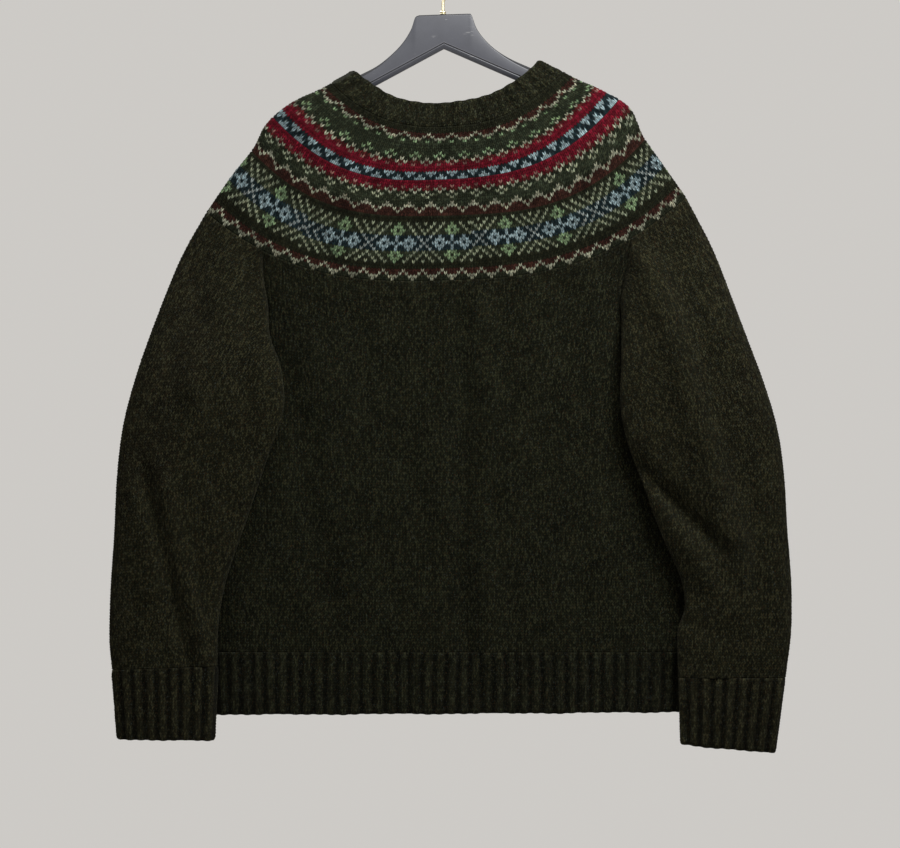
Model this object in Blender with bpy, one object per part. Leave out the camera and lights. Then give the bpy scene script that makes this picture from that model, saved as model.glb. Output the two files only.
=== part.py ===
"""A fair isle yoke jumper, hung flat on a plain hanger.

The jumper is knitted in pieces that a maker would join: a round yoke, a back and a front panel, two
sleeves, a ribbed neckband, two ribbed hem bands and two ribbed cuffs. Each piece is a wall of cloth. Its
middle surface is a grid of points, worked out from a short table of sections, and its two faces lie half a
wall either side.

Axes: +X to the right and +Z up, seen by someone who faces the back of the jumper; -Y points at them. That
side is called near here, and the front of the jumper is the far side. The origin is the top of the inside
of the hook, where the rail carries it. Every table is in millimetres.
"""

import math
from collections import namedtuple

import bpy
import numpy as np

MM = 0.001

# Cloth
WALL = 2.5
SEAM = 0.45
FOLD_GAP = 1.4
ARMPIT_RELIEF = 1.0
RIB_RISE = 1.2
RIB_COLUMNS = 4
RIB_PROFILE = (0.0, 1.0, 1.0, 0.0)
NECK_RIBS = 36
HEM_RIBS_A_FACE = 39
CUFF_RIBS = 18

# Knitting rounds of the yoke, counted up from its lower edge
YOKE_ROUNDS = (54, 50, 46, 42, 38, 34, 29, 24, 18, 12, 6, 0)

# Columns of the grids
PANEL_COLUMNS = 24
SHOULDER_COLUMNS = 6
SEAM_ROWS = 4
SLEEVE_HALF_COLUMNS = SHOULDER_COLUMNS + SEAM_ROWS

# The near and far halves of a section meet in round edges: the exponents of their outlines
BODY_ROUNDNESS = 2.8
SLEEVE_ROUNDNESS = 2.3

# Share of a yoke round's half width that the body takes; the rest belongs to a sleeve
BODY_SHARE = 0.77

# A sleeve's tube is two solids that meet along its folds. The column of each where it reaches the armpit
SLEEVE_ARMPITS = {
    "sleeve_left_back": SLEEVE_HALF_COLUMNS,
    "sleeve_left_front": 0,
    "sleeve_right_back": 0,
    "sleeve_right_front": SLEEVE_HALF_COLUMNS,
}

# Hook: a wire round an arc about a point straight below the origin, on a stem that bends out to meet it
HOOK_WIRE = 3.6
HOOK_RADIUS = 20.0
HOOK_START_ANGLE = -48.0
HOOK_END_ANGLE = 205.0
HOOK_ARC_POINTS = 22
HOOK_STEM_TOP = -50.0
HOOK_BEND_POINTS = 6
HOOK_BEND_REACH = 8.0
HOOK_BEVEL_RESOLUTION = 2
COLLAR_RADIUS = 3.6
COLLAR_HEIGHT = 4.0
COLLAR_SIDES = 16
SEAT_GAP = 0.3

# Hanger: its bar's upper line from the flat top out to the neckband, and its straight undersides. The bar's
# top is broad in the open and narrow under the cloth, where the outline of the shoulders closes round it
HangerPoint = namedtuple("HangerPoint", "x z")
HANGER_TOP = -60.0
HANGER_LEFT_LINE = (
    HangerPoint(-27, -61),
    HangerPoint(-31.5, -64),
    HangerPoint(-37, -79),
    HangerPoint(-50, -97.5),
    HangerPoint(-72, -116.5),
    HangerPoint(-97, -129.5),
)
HANGER_RIGHT_LINE = (
    HangerPoint(28, -60),
    HangerPoint(32, -62),
    HangerPoint(39, -78),
    HangerPoint(54, -95.5),
    HangerPoint(74, -109),
    HangerPoint(100, -120.5),
)
HANGER_LINE_STEPS = 14
HANGER_LEFT_ROUNDS = (54, 50, 46, 42)
HANGER_RIGHT_ROUNDS = (50, 46, 42)
HANGER_APEX_X = 1.0
HANGER_APEX_Z = -98.5
HANGER_LEFT_FALL = 0.54
HANGER_RIGHT_FALL = 0.435
HANGER_HALF_DEPTH = 6.5
HANGER_FOOT_HALF_DEPTH = 3.0
HANGER_BEVEL = 6.0
HANGER_OPEN_TOP_HALF_DEPTH = 5.2
HANGER_OPEN_CHAMFER = 1.3
HANGER_CLAD_TOP_HALF_DEPTH = 1.6
HANGER_CLAD_CHAMFER = 4.0
HANGER_OPEN_TO_CLAD = (60.0, 95.0)
HANGER_TIP = 7.0
HANGER_TIP_DROP = 2.5
CLOTH_REST_GAP = 0.8

Round = namedtuple(
    "Round", "number left_x left_z right_x right_z near_z far_z bow near_y far_y roundness"
)
YOKE = (
    Round(0, -263, -283, 270, -266, -359, -404, 2.8, -15.0, 15.5, 2.6),
    Round(13, -232, -240, 241, -225, -315, -360, 3.2, -15.5, 16.0, 2.8),
    Round(22, -209, -211, 222, -198, -283, -328, 3.1, -16.0, 16.5, 3.2),
    Round(32, -194, -182, 203, -162, -252, -297, 2.9, -16.5, 17.0, 3.8),
    Round(38, -176, -165, 178, -147, -234, -279, 2.7, -17.0, 17.5, 4.2),
    Round(50, -134, -147, 147, -134, -197, -242, 2.5, -17.5, 18.0, 4.2),
    Round(54, -125, -140, 134, -126, -187, -232, 2.5, -17.5, 18.0, 4.2),
)
NECKBAND = (
    Round(0, -125, -140, 134, -126, -187, -232, 2.5, -17.5, 18.0, 4.2),
    Round(1, -112, -132, 120, -119.5, -174, -219, 2.5, -17.0, 17.5, 4.0),
    Round(2, -99, -124, 106, -113, -160, -205, 2.5, -16.5, 17.0, 3.8),
)

# Levels of the body from the armpits down to the ribbed hem, then the hem band itself
Level = namedtuple("Level", "left_x left_z right_x right_z near_sag far_sag near_y far_y edge_y")
BODY = (
    Level(-203, -370, 207, -357, 36, 76, -14.5, 15.0, 2.0),
    Level(-200, -392, 204, -379, 33, 66, -14.5, 15.5, 5.0),
    Level(-204, -425, 208, -412, 29, 55, -14.0, 15.5, 6.0),
    Level(-216, -470, 220, -460, 23, 42, -13.5, 15.5, 6.0),
    Level(-231, -530, 236, -522, 16, 28, -13.0, 15.0, 5.0),
    Level(-244, -605, 252, -600, 9, 14, -13.0, 14.5, 3.5),
    Level(-252, -695, 264, -691, 3, 5, -12.5, 14.0, 2.0),
    Level(-252, -776, 265, -776, 0, 0, -12.0, 13.5, 1.5),
)
BODY_LEVELS = (0, 0.5, 1, 1.6, 2.3, 3, 3.8, 4.6, 5.5, 7)
HEM = (
    Level(-252, -776, 265, -776, 0, 0, -12.0, 13.5, 1.5),
    Level(-252, -846, 265, -843, 0, 0, -12.5, 13.0, 1.5),
)

# Sections of the sleeves, from the armpit to the cuff's seam, then the cuff itself
Section = namedtuple("Section", "outer_x outer_z inner_x inner_z outer_y inner_y near_y far_y")
LEFT_SLEEVE = (
    Section(-263, -283, -203, -370, 0, 2, -12, 12),
    Section(-290, -334, -208, -389, -2, -9, -21, 5),
    Section(-316, -399, -201, -423, -9, -22, -35, -9),
    Section(-342, -463, -183, -458, -18, -31, -44, -20),
    Section(-358, -521, -179, -505, -23, -32, -46, -21),
    Section(-364, -579, -196, -555, -24, -31, -45, -20),
    Section(-368, -644, -220, -626, -25, -30, -44, -19),
    Section(-372, -707, -243, -693, -26, -29, -43, -18),
    Section(-373, -762, -256, -745, -27, -29, -42, -17),
    Section(-370, -794, -255, -790, -28, -28, -41, -17),
)
LEFT_CUFF = (
    Section(-370, -794, -255, -790, -28, -28, -41, -17),
    Section(-364, -872, -258, -874, -27, -27, -39, -17),
)
RIGHT_SLEEVE = (
    Section(270, -266, 207, -357, 0, 2, -12, 12),
    Section(300, -325, 212, -378, -2, -9, -21, 5),
    Section(321, -380, 207, -413, -9, -22, -35, -9),
    Section(340, -424, 200, -454, -17, -30, -42, -19),
    Section(361, -479, 199, -499, -22, -32, -45, -21),
    Section(376, -529, 207, -540, -24, -32, -46, -21),
    Section(382, -581, 225, -589, -24, -31, -45, -20),
    Section(386, -635, 246, -639, -25, -30, -44, -19),
    Section(389, -689, 266, -689, -26, -29, -43, -18),
    Section(389, -756, 270, -745, -27, -29, -42, -17),
    Section(385, -803, 267, -803, -28, -28, -41, -17),
)
RIGHT_CUFF = (
    Section(385, -803, 267, -803, -28, -28, -41, -17),
    Section(372, -888, 268, -879, -27, -27, -39, -17),
)
SLEEVE_FADE = 3.2
SLEEVE_STEPS_A_SECTION = 1.4

# Folds: soft troughs (a negative rise) and ridges along a line, on the near or the far side
Fold = namedtuple("Fold", "piece side x0 z0 x1 z1 width rise")
FOLDS = (
    Fold("body", "near", 31, -372, 36, -768, 24, -3.5),
    Fold("body", "near", 74, -400, 70, -760, 26, 2.0),
    Fold("body", "near", -146, -500, -120, -690, 28, -2.0),
    Fold("body", "far", -40, -440, -46, -760, 26, -3.5),
    Fold("body", "far", 6, -450, -2, -755, 26, 2.5),
    Fold("body", "far", 130, -520, 112, -740, 28, -2.5),
    Fold("left", "near", -224, -344, -264, -460, 26, 3.0),
    Fold("left", "near", -322, -594, -278, -752, 17, -5.0),
    Fold("left", "near", -296, -600, -262, -735, 15, 3.0),
    Fold("left", "far", -316, -560, -300, -700, 24, -3.0),
    Fold("right", "near", 222, -578, 305, -650, 15, -6.0),
    Fold("right", "near", 240, -610, 300, -682, 14, 3.5),
    Fold("right", "near", 336, -655, 312, -730, 18, 3.0),
    Fold("right", "far", 300, -520, 318, -660, 24, -3.0),
)
FOLD_FADE = 40.0

# Edges sharper than this, in degrees, are shaded as edges
CLOTH_SMOOTH_ANGLE = 40
HANGER_SMOOTH_ANGLE = 30

Finish = namedtuple("Finish", "colour roughness metallic")
DARK_WOOL = Finish((0.014, 0.015, 0.010), 0.95, 0.0)
YOKE_WOOL = Finish((0.050, 0.065, 0.040), 0.95, 0.0)
PLASTIC = Finish((0.050, 0.052, 0.056), 0.45, 0.0)
BRASS = Finish((0.62, 0.45, 0.20), 0.32, 1.0)


def smooth(table, column, at, positions=None):
    """A column of a table at any place between its rows: cubics, with slopes from the rows next to them."""
    values = np.array([getattr(row, column) for row in table], float)
    places = np.arange(len(values), dtype=float) if positions is None else np.asarray(positions, float)
    if len(values) == 2:
        return np.interp(at, places, values)
    slopes = np.gradient(values, places)
    low = np.clip(np.searchsorted(places, at, side="right") - 1, 0, len(values) - 2)
    step = places[low + 1] - places[low]
    t = (at - places[low]) / step
    return (
        (2 * t**3 - 3 * t**2 + 1) * values[low]
        + (t**3 - 2 * t**2 + t) * step * slopes[low]
        + (3 * t**2 - 2 * t**3) * values[low + 1]
        + (t**3 - t**2) * step * slopes[low + 1]
    )


def bulge(u, roundness):
    """Height of a half section over its chord, from 0 at u = -1 and 1 to 1 in the middle."""
    return (1 - np.abs(u) ** roundness) ** (1 / roundness)


def near_u():
    """Places across a yoke round: close together by the two outlines, even over the body."""
    edge = (1 - BODY_SHARE) * (np.arange(SHOULDER_COLUMNS) / SHOULDER_COLUMNS) ** 2
    body = np.linspace(-BODY_SHARE, BODY_SHARE, PANEL_COLUMNS + 1)
    return np.concatenate([-1 + edge, body, (1 - edge)[::-1]])


def yoke_round(table, number):
    """One round of the yoke or neckband: the near half from left to right, then the far half back."""
    places = [row.number for row in table]
    left_x, left_z, right_x, right_z, near_z, far_z, bow, near_y, far_y, roundness = (
        smooth(table, column, number, places) for column in Round._fields[1:]
    )
    halves = []
    for u, low_z, deep_y in ((near_u(), near_z, near_y), (near_u()[::-1], far_z, far_y)):
        share = (u + 1) / 2
        level = left_z + (right_z - left_z) * share
        drop = (low_z - (left_z + right_z) / 2) * (1 - np.abs(u) ** bow)
        x = left_x + (right_x - left_x) * share
        halves.append(np.stack([x, deep_y * bulge(u, roundness), level + drop], axis=1))
    return halves


def ring(near, far):
    return np.concatenate([near, far[1:-1]])


def yoke_grid(table, numbers):
    return np.array([ring(*yoke_round(table, number)) for number in numbers])


def fold_shift(points, piece, side):
    """The folds' push out of the cloth, in Y: a bell across each fold's line that dies away at its ends."""
    outward = -1.0 if side == "near" else 1.0
    shift = np.zeros(points.shape[:-1])
    for fold in FOLDS:
        if (fold.piece, fold.side) != (piece, side):
            continue
        start = np.array([fold.x0, fold.z0], float)
        along = np.array([fold.x1, fold.z1], float) - start
        length = np.hypot(*along)
        offset = points[..., [0, 2]] - start
        run = offset @ along / length
        past = np.maximum(np.maximum(-run, run - length), 0)
        across = offset @ np.array([-along[1], along[0]]) / length
        shift += outward * fold.rise * np.exp(-((across / fold.width) ** 2) - (past / FOLD_FADE) ** 2)
    return shift


def body_level(table, at, side):
    """One level of a body panel, from its left side seam to its right one."""
    w = np.linspace(-1, 1, PANEL_COLUMNS + 1)
    u = 0.4 * w + 0.6 * np.sin(w * math.pi / 2)
    left_x, left_z, right_x, right_z, edge_y = (
        smooth(table, column, at) for column in ("left_x", "left_z", "right_x", "right_z", "edge_y")
    )
    sag = smooth(table, side + "_sag", at)
    deep_y = smooth(table, side + "_y", at)
    share = (u + 1) / 2
    z = left_z + (right_z - left_z) * share - sag * (1 - u**2)
    y = edge_y + (deep_y - edge_y) * bulge(u, BODY_ROUNDNESS)
    points = np.stack([left_x + (right_x - left_x) * share, y, z], axis=1)
    points[:, 1] += fold_shift(points, "body", side) * bulge(u, 2)
    return points


def body_grid(table, levels, side):
    return np.array([body_level(table, level, side) for level in levels])


def panel_grid(yoke_half, side):
    """A body panel: from the yoke's edge, between the sleeves to the armpits, then down to the hem."""
    top = yoke_half[SHOULDER_COLUMNS : SHOULDER_COLUMNS + PANEL_COLUMNS + 1]
    armpits = body_level(BODY, 0, side)
    upper = [top + (armpits - top) * k / SEAM_ROWS for k in range(SEAM_ROWS)]
    return np.concatenate([upper, body_grid(BODY, BODY_LEVELS, side)])


def sleeve_section(table, at, outer_is_left):
    """One section of a sleeve: the near half from left to right and the far half back."""
    w = np.linspace(0, 1, SLEEVE_HALF_COLUMNS + 1)
    u = -np.cos(math.pi * w)
    ends = ("outer", "inner") if outer_is_left else ("inner", "outer")
    left, right = (
        np.array([smooth(table, end + axis, at) for axis in ("_x", "_y", "_z")]) for end in ends
    )
    halves = []
    for across, column in ((u, "near_y"), (u[::-1], "far_y")):
        points = left + (right - left) * ((across + 1) / 2)[:, None]
        deep_y = smooth(table, column, at)
        points[:, 1] += (deep_y - points[:, 1]) * bulge(across, SLEEVE_ROUNDNESS)
        halves.append(points)
    return halves


def sleeve_grid(table, steps, outer_is_left, rim=None):
    """A sleeve or cuff. The rim joins yoke and body; its shape fades into the plain sections."""
    plain_start = sleeve_section(table, 0, outer_is_left)
    piece = "left" if outer_is_left else "right"
    rows = []
    for at in steps:
        near, far = sleeve_section(table, at, outer_is_left)
        if rim is not None:
            t = min(at / SLEEVE_FADE, 1.0)
            fade = 1 - t * t * (3 - 2 * t)
            near = near + fade * (rim[0] - plain_start[0])
            far = far + fade * (rim[1] - plain_start[1])
            near[:, 1] += (1 - fade) * fold_shift(near, piece, "near")
            far[:, 1] += (1 - fade) * fold_shift(far, piece, "far")
        rows.append(ring(near, far))
    return np.array(rows)


def near_and_far(tube):
    """The two halves of a sleeve's tube, from left to right and back, which meet along its two folds."""
    whole = wrapped(tube, True)
    return whole[:, : SLEEVE_HALF_COLUMNS + 1], whole[:, SLEEVE_HALF_COLUMNS:]


def sleeve_rim(yoke_halves, panels, outer_is_left):
    """The rim's near and far halves: along the yoke's edge, then down the panel's edge to the armpit."""
    near_yoke, far_yoke = yoke_halves
    near_panel, far_panel = panels
    if outer_is_left:
        near = [near_yoke[: SHOULDER_COLUMNS + 1], near_panel[1 : SEAM_ROWS + 1, 0]]
        far = [far_panel[SEAM_ROWS:0:-1, 0], far_yoke[-SHOULDER_COLUMNS - 1 :]]
    else:
        near = [near_panel[SEAM_ROWS:0:-1, -1], near_yoke[-SHOULDER_COLUMNS - 1 :]]
        far = [far_yoke[: SHOULDER_COLUMNS + 1], far_panel[1 : SEAM_ROWS + 1, -1]]
    return np.concatenate(near), np.concatenate(far)


def wrapped(grid, is_ring):
    return np.concatenate([grid, grid[:, :1]], axis=1) if is_ring else grid


def shared_normals(grids):
    """Unit normals at every grid point. Pieces that share a point share its normal, so their edges meet."""
    totals = {}
    keys = {}
    for name, (grid, is_ring) in grids.items():
        whole = wrapped(grid, is_ring)
        diagonal = whole[1:, 1:] - whole[:-1, :-1]
        other = whole[:-1, 1:] - whole[1:, :-1]
        facing = np.cross(diagonal, other)
        keys[name] = np.round(grid, 2)
        rows, columns = grid.shape[:2]
        for i, j in np.ndindex(facing.shape[:2]):
            for di, dj in ((0, 0), (1, 0), (0, 1), (1, 1)):
                key = tuple(keys[name][i + di, (j + dj) % columns])
                totals[key] = totals.get(key, 0) + facing[i, j]
    normals = {}
    for name in grids:
        flat = np.array([totals[tuple(key)] for key in keys[name].reshape(-1, 3)])
        flat /= np.linalg.norm(flat, axis=1, keepdims=True)
        normals[name] = flat.reshape(grids[name][0].shape)
    return normals


def square_to(normals, plane_normal):
    """Turn normals into a plane, so that an edge cut along that plane is flat."""
    turned = normals - (normals @ plane_normal)[..., None] * plane_normal
    return turned / np.linalg.norm(turned, axis=-1, keepdims=True)


def ribbed(grid, normals, is_ring, ribs):
    """The grid with its columns laid out evenly along its first row, RIB_COLUMNS to each rib."""
    whole, turned = wrapped(grid, is_ring), wrapped(normals, is_ring)
    run = np.concatenate([[0], np.cumsum(np.linalg.norm(np.diff(whole[0], axis=0), axis=1))])
    count = ribs * RIB_COLUMNS
    even = np.linspace(0, run[-1], count + 1)[: count if is_ring else count + 1]
    place = np.interp(even, run, np.arange(len(run)))
    low = np.minimum(place.astype(int), len(run) - 2)
    part = (place - low)[None, :, None]
    points = whole[:, low] * (1 - part) + whole[:, low + 1] * part
    facing = turned[:, low] * (1 - part) + turned[:, low + 1] * part
    rise = RIB_RISE * np.resize(RIB_PROFILE, points.shape[1])
    return points, facing, np.tile(rise, (len(points), 1))


def trimmed(grid, normals, is_ring, edges):
    """The grid with the named edges drawn back along the cloth, by half the gap of a seam or a fold."""
    points = grid.copy()
    whole = wrapped(grid, is_ring)

    def draw_back(edge, inner, facing, run):
        along = np.gradient(run, axis=0)[: len(edge)]
        step = np.cross(along, facing)
        step *= np.sign(np.sum(step * (inner - edge), axis=1, keepdims=True))
        edge += step / np.linalg.norm(step, axis=1, keepdims=True) * SEAM / 2

    def draw_off_fold(edge, inner):
        along = np.gradient(edge, axis=0)
        along /= np.linalg.norm(along, axis=1, keepdims=True)
        step = inner - edge
        step -= along * np.sum(step * along, axis=1, keepdims=True)
        edge += step / np.linalg.norm(step, axis=1, keepdims=True) * FOLD_GAP / 2

    if "top" in edges:
        draw_back(points[0], grid[1], normals[0], whole[0])
    if "bottom" in edges:
        draw_back(points[-1], grid[-2], normals[-1], whole[-1])
    if "sides" in edges:
        draw_back(points[:, 0], grid[:, 1], normals[:, 0], grid[:, 0])
        draw_back(points[:, -1], grid[:, -2], normals[:, -1], grid[:, -1])
    if "folds" in edges:
        draw_off_fold(points[:, 0], grid[:, 1])
        draw_off_fold(points[:, -1], grid[:, -2])
    return points


def relieve(points, row, column, towards):
    """Draw one corner back towards another grid point, where four edges meet at an armpit."""
    step = points[towards] - points[row, column]
    points[row, column] += step / np.linalg.norm(step) * ARMPIT_RELIEF


def material_for(name, finish):
    material = bpy.data.materials.new(name)
    material.use_nodes = True
    shader = material.node_tree.nodes["Principled BSDF"]
    shader.inputs["Base Color"].default_value = (*finish.colour, 1.0)
    shader.inputs["Roughness"].default_value = finish.roughness
    shader.inputs["Metallic"].default_value = finish.metallic
    return material


def add_object(name, data, finish):
    data.materials.append(material_for(name, finish))
    made = bpy.data.objects.new(name, data)
    bpy.context.scene.collection.objects.link(made)
    return made


def add_mesh(name, points, faces, finish, smooth_angle=CLOTH_SMOOTH_ANGLE):
    mesh = bpy.data.meshes.new(name)
    mesh.from_pydata((np.asarray(points) * MM).tolist(), [], faces)
    mesh.validate()
    mesh.shade_smooth()
    mesh.set_sharp_from_angle(angle=math.radians(smooth_angle))
    return add_object(name, mesh, finish)


def add_cloth(name, grid, normals, is_ring, edges, finish, rise=0.0, armpits=()):
    """A closed wall of cloth: its outer face, its plain inner face and the rims between them."""
    middle = trimmed(grid, normals, is_ring, edges)
    for row, column, towards in armpits:
        relieve(middle, row, column, towards)
    outer = middle + normals * (WALL / 2 + np.asarray(rise)[..., None])
    inner = middle - normals * WALL / 2
    rows, columns = grid.shape[:2]
    size = rows * columns
    last = columns if is_ring else columns - 1

    def at(i, j, inside=False):
        return i * columns + j % columns + (size if inside else 0)

    faces = []
    for i in range(rows - 1):
        for j in range(last):
            faces.append((at(i, j), at(i + 1, j), at(i + 1, j + 1), at(i, j + 1)))
            faces.append((at(i, j, True), at(i, j + 1, True), at(i + 1, j + 1, True), at(i + 1, j, True)))
    bottom = rows - 1
    for j in range(last):
        faces.append((at(0, j), at(0, j + 1), at(0, j + 1, True), at(0, j, True)))
        faces.append((at(bottom, j + 1), at(bottom, j), at(bottom, j, True), at(bottom, j + 1, True)))
    if not is_ring:
        for i in range(rows - 1):
            faces.append((at(i + 1, 0), at(i, 0), at(i, 0, True), at(i + 1, 0, True)))
            faces.append((at(i, last), at(i + 1, last), at(i + 1, last, True), at(i, last, True)))
    points = np.concatenate([outer.reshape(-1, 3), inner.reshape(-1, 3)])
    return add_mesh(name, points, faces, finish)


def cut_normal(section):
    """The normal of a sleeve's straight cut: the plane holds the section's chord and the Y axis."""
    chord = np.array([section.inner_x - section.outer_x, 0.0, section.inner_z - section.outer_z])
    across = np.cross(chord, (0.0, 1.0, 0.0))
    return across / np.linalg.norm(across)


def cloth_grids():
    """The middle surface of every piece of cloth, and whether it is a closed tube."""
    near_edge, far_edge = yoke_round(YOKE, 0)
    panels = (panel_grid(near_edge, "near"), panel_grid(far_edge[::-1], "far"))
    grids = {
        "yoke": (yoke_grid(YOKE, YOKE_ROUNDS), True),
        "neckband": (yoke_grid(NECKBAND, (2, 1, 0)), True),
        "back_panel": (panels[0], False),
        "front_panel": (panels[1][:, ::-1], False),
        "hem_rib_back": (body_grid(HEM, (0, 1), "near"), False),
        "hem_rib_front": (body_grid(HEM, (0, 1), "far")[:, ::-1], False),
    }
    for side, table, cuff in (("left", LEFT_SLEEVE, LEFT_CUFF), ("right", RIGHT_SLEEVE, RIGHT_CUFF)):
        is_left = side == "left"
        rim = sleeve_rim((near_edge, far_edge), panels, is_left)
        count = round((len(table) - 1) * SLEEVE_STEPS_A_SECTION)
        steps = np.linspace(0, len(table) - 1, count + 1)
        near, far = near_and_far(sleeve_grid(table, steps, is_left, rim))
        grids[f"sleeve_{side}_back"] = (near, False)
        grids[f"sleeve_{side}_front"] = (far, False)
        grids["cuff_" + side] = (sleeve_grid(cuff, (0, 1), is_left), True)
    return grids


def cloth_normals(grids):
    """The shared normals, turned where they must be: level at the hem's seam, square to the cuffs' seams.
    At an armpit the body's tube and the sleeve's tube part, so the cloth there faces straight down."""
    normals = shared_normals(grids)
    level = np.array([0.0, 0.0, 1.0])
    for name, armpit in SLEEVE_ARMPITS.items():
        normals[name][0, armpit] = -level
    for name in ("back_panel", "front_panel"):
        normals[name][SEAM_ROWS, [0, -1]] = -level
        normals[name][-1] = square_to(normals[name][-1], level)
    for name in ("hem_rib_back", "hem_rib_front"):
        normals[name][0] = square_to(normals[name][0], level)
    for side, cuff in (("left", LEFT_CUFF), ("right", RIGHT_CUFF)):
        cut = cut_normal(cuff[0])
        for name, row in ((f"sleeve_{side}_back", -1), (f"sleeve_{side}_front", -1), ("cuff_" + side, 0)):
            normals[name][row] = square_to(normals[name][row], cut)
    return normals


def make_plain_cloth(grids, normals):
    panel_edges = ("top", "bottom", "sides")
    panel_armpits = ((SEAM_ROWS, 0, (SEAM_ROWS, 1)), (SEAM_ROWS, -1, (SEAM_ROWS, -2)))
    pieces = {
        "yoke": (("top", "bottom"), YOKE_WOOL, ()),
        "back_panel": (panel_edges, DARK_WOOL, panel_armpits),
        "front_panel": (panel_edges, DARK_WOOL, panel_armpits),
    }
    for name, armpit in SLEEVE_ARMPITS.items():
        inward = 1 if armpit == 0 else armpit - 1
        pieces[name] = (("top", "bottom", "folds"), DARK_WOOL, ((0, armpit, (1, inward)),))
    for name, (edges, finish, armpits) in pieces.items():
        grid, is_ring = grids[name]
        add_cloth(name, grid, normals[name], is_ring, edges, finish, armpits=armpits)


def make_ribbed_cloth(grids, normals):
    pieces = {
        "neckband": (NECK_RIBS, ("bottom",)),
        "hem_rib_back": (HEM_RIBS_A_FACE, ("top", "sides")),
        "hem_rib_front": (HEM_RIBS_A_FACE, ("top", "sides")),
        "cuff_left": (CUFF_RIBS, ("top",)),
        "cuff_right": (CUFF_RIBS, ("top",)),
    }
    for name, (ribs, edges) in pieces.items():
        grid, is_ring = grids[name]
        points, facing, rise = ribbed(grid, normals[name], is_ring, ribs)
        add_cloth(name, points, facing, is_ring, edges, DARK_WOOL, rise)


def hanger_line(table):
    """The bar's upper line in the open: a smooth curve through the table's points."""
    at = np.linspace(0, len(table) - 1, HANGER_LINE_STEPS + 1)
    return np.stack([smooth(table, "x", at), smooth(table, "z", at)], axis=1)


def cloth_rest_points(numbers, is_left):
    """Where the outline of the cloth rests on the bar: half a wall and a gap under the shoulder line."""
    places = [row.number for row in YOKE]
    end = "left" if is_left else "right"
    x = smooth(YOKE, end + "_x", np.array(numbers), places)
    z = smooth(YOKE, end + "_z", np.array(numbers), places)
    slope = np.gradient(z, x)
    rest = np.stack([x, z - (WALL / 2 + CLOTH_REST_GAP) * np.hypot(1, slope)], axis=1)
    tip = rest[-1] + (rest[-1] - rest[-2]) / abs(x[-1] - x[-2]) * HANGER_TIP - (0, HANGER_TIP_DROP)
    return np.append(rest, [tip], axis=0)


def hanger_section(x, top):
    """The bar's section at one place: down its near side, then up its far side."""
    reach = abs(x - HANGER_APEX_X)
    foot = HANGER_APEX_Z - (HANGER_LEFT_FALL if x < HANGER_APEX_X else HANGER_RIGHT_FALL) * reach
    half_depth = np.interp(
        reach, HANGER_OPEN_TO_CLAD, (HANGER_OPEN_TOP_HALF_DEPTH, HANGER_CLAD_TOP_HALF_DEPTH)
    )
    chamfer = np.interp(reach, HANGER_OPEN_TO_CLAD, (HANGER_OPEN_CHAMFER, HANGER_CLAD_CHAMFER))
    side = (
        (half_depth, top),
        (HANGER_HALF_DEPTH, top - chamfer),
        (HANGER_HALF_DEPTH, foot + HANGER_BEVEL),
        (HANGER_FOOT_HALF_DEPTH, foot),
    )
    return [(x, -y, z) for y, z in side] + [(x, y, z) for y, z in reversed(side)]


def make_hanger():
    left = np.concatenate([hanger_line(HANGER_LEFT_LINE), cloth_rest_points(HANGER_LEFT_ROUNDS, True)])
    right = np.concatenate([hanger_line(HANGER_RIGHT_LINE), cloth_rest_points(HANGER_RIGHT_ROUNDS, False)])
    line = np.concatenate([left[::-1], [[HANGER_APEX_X, HANGER_TOP]], right])
    sections = [hanger_section(x, top) for x, top in line]
    sides = len(sections[0])
    points = [point for section in sections for point in section]
    faces = [tuple(range(sides - 1, -1, -1)), tuple(range(len(points) - sides, len(points)))]
    for i in range(len(sections) - 1):
        for k in range(sides):
            low, high = i * sides + k, i * sides + (k + 1) % sides
            faces.append((low, high, high + sides, low + sides))
    add_mesh("hanger_bar", points, faces, PLASTIC, HANGER_SMOOTH_ANGLE)


def make_hook():
    centre = HOOK_WIRE / 2 - HOOK_RADIUS
    angles = np.radians(np.linspace(HOOK_START_ANGLE, HOOK_END_ANGLE, HOOK_ARC_POINTS))
    arc = np.stack([HOOK_RADIUS * np.cos(angles), centre + HOOK_RADIUS * np.sin(angles)], axis=1)
    heading = np.array([-math.sin(angles[0]), math.cos(angles[0])])
    stem_top = np.array([0.0, HOOK_STEM_TOP])
    handles = (stem_top, stem_top + (0, HOOK_BEND_REACH), arc[0] - heading * HOOK_BEND_REACH, arc[0])
    t = np.linspace(0, 1, HOOK_BEND_POINTS)[:, None]
    bend = sum(
        math.comb(3, k) * t**k * (1 - t) ** (3 - k) * handles[k] for k in range(4)
    )
    stem_foot = [[0.0, HANGER_TOP + COLLAR_HEIGHT + 2 * SEAT_GAP]]
    route = np.concatenate([stem_foot, bend, arc[1:]])
    curve = bpy.data.curves.new("hanger_hook", "CURVE")
    curve.dimensions = "3D"
    curve.bevel_depth = HOOK_WIRE / 2 * MM
    curve.bevel_resolution = HOOK_BEVEL_RESOLUTION
    curve.use_fill_caps = True
    spline = curve.splines.new("POLY")
    spline.points.add(len(route) - 1)
    for point, (x, z) in zip(spline.points, route):
        point.co = (x * MM, 0.0, z * MM, 1.0)
    add_object("hanger_hook", curve, BRASS)


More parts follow.
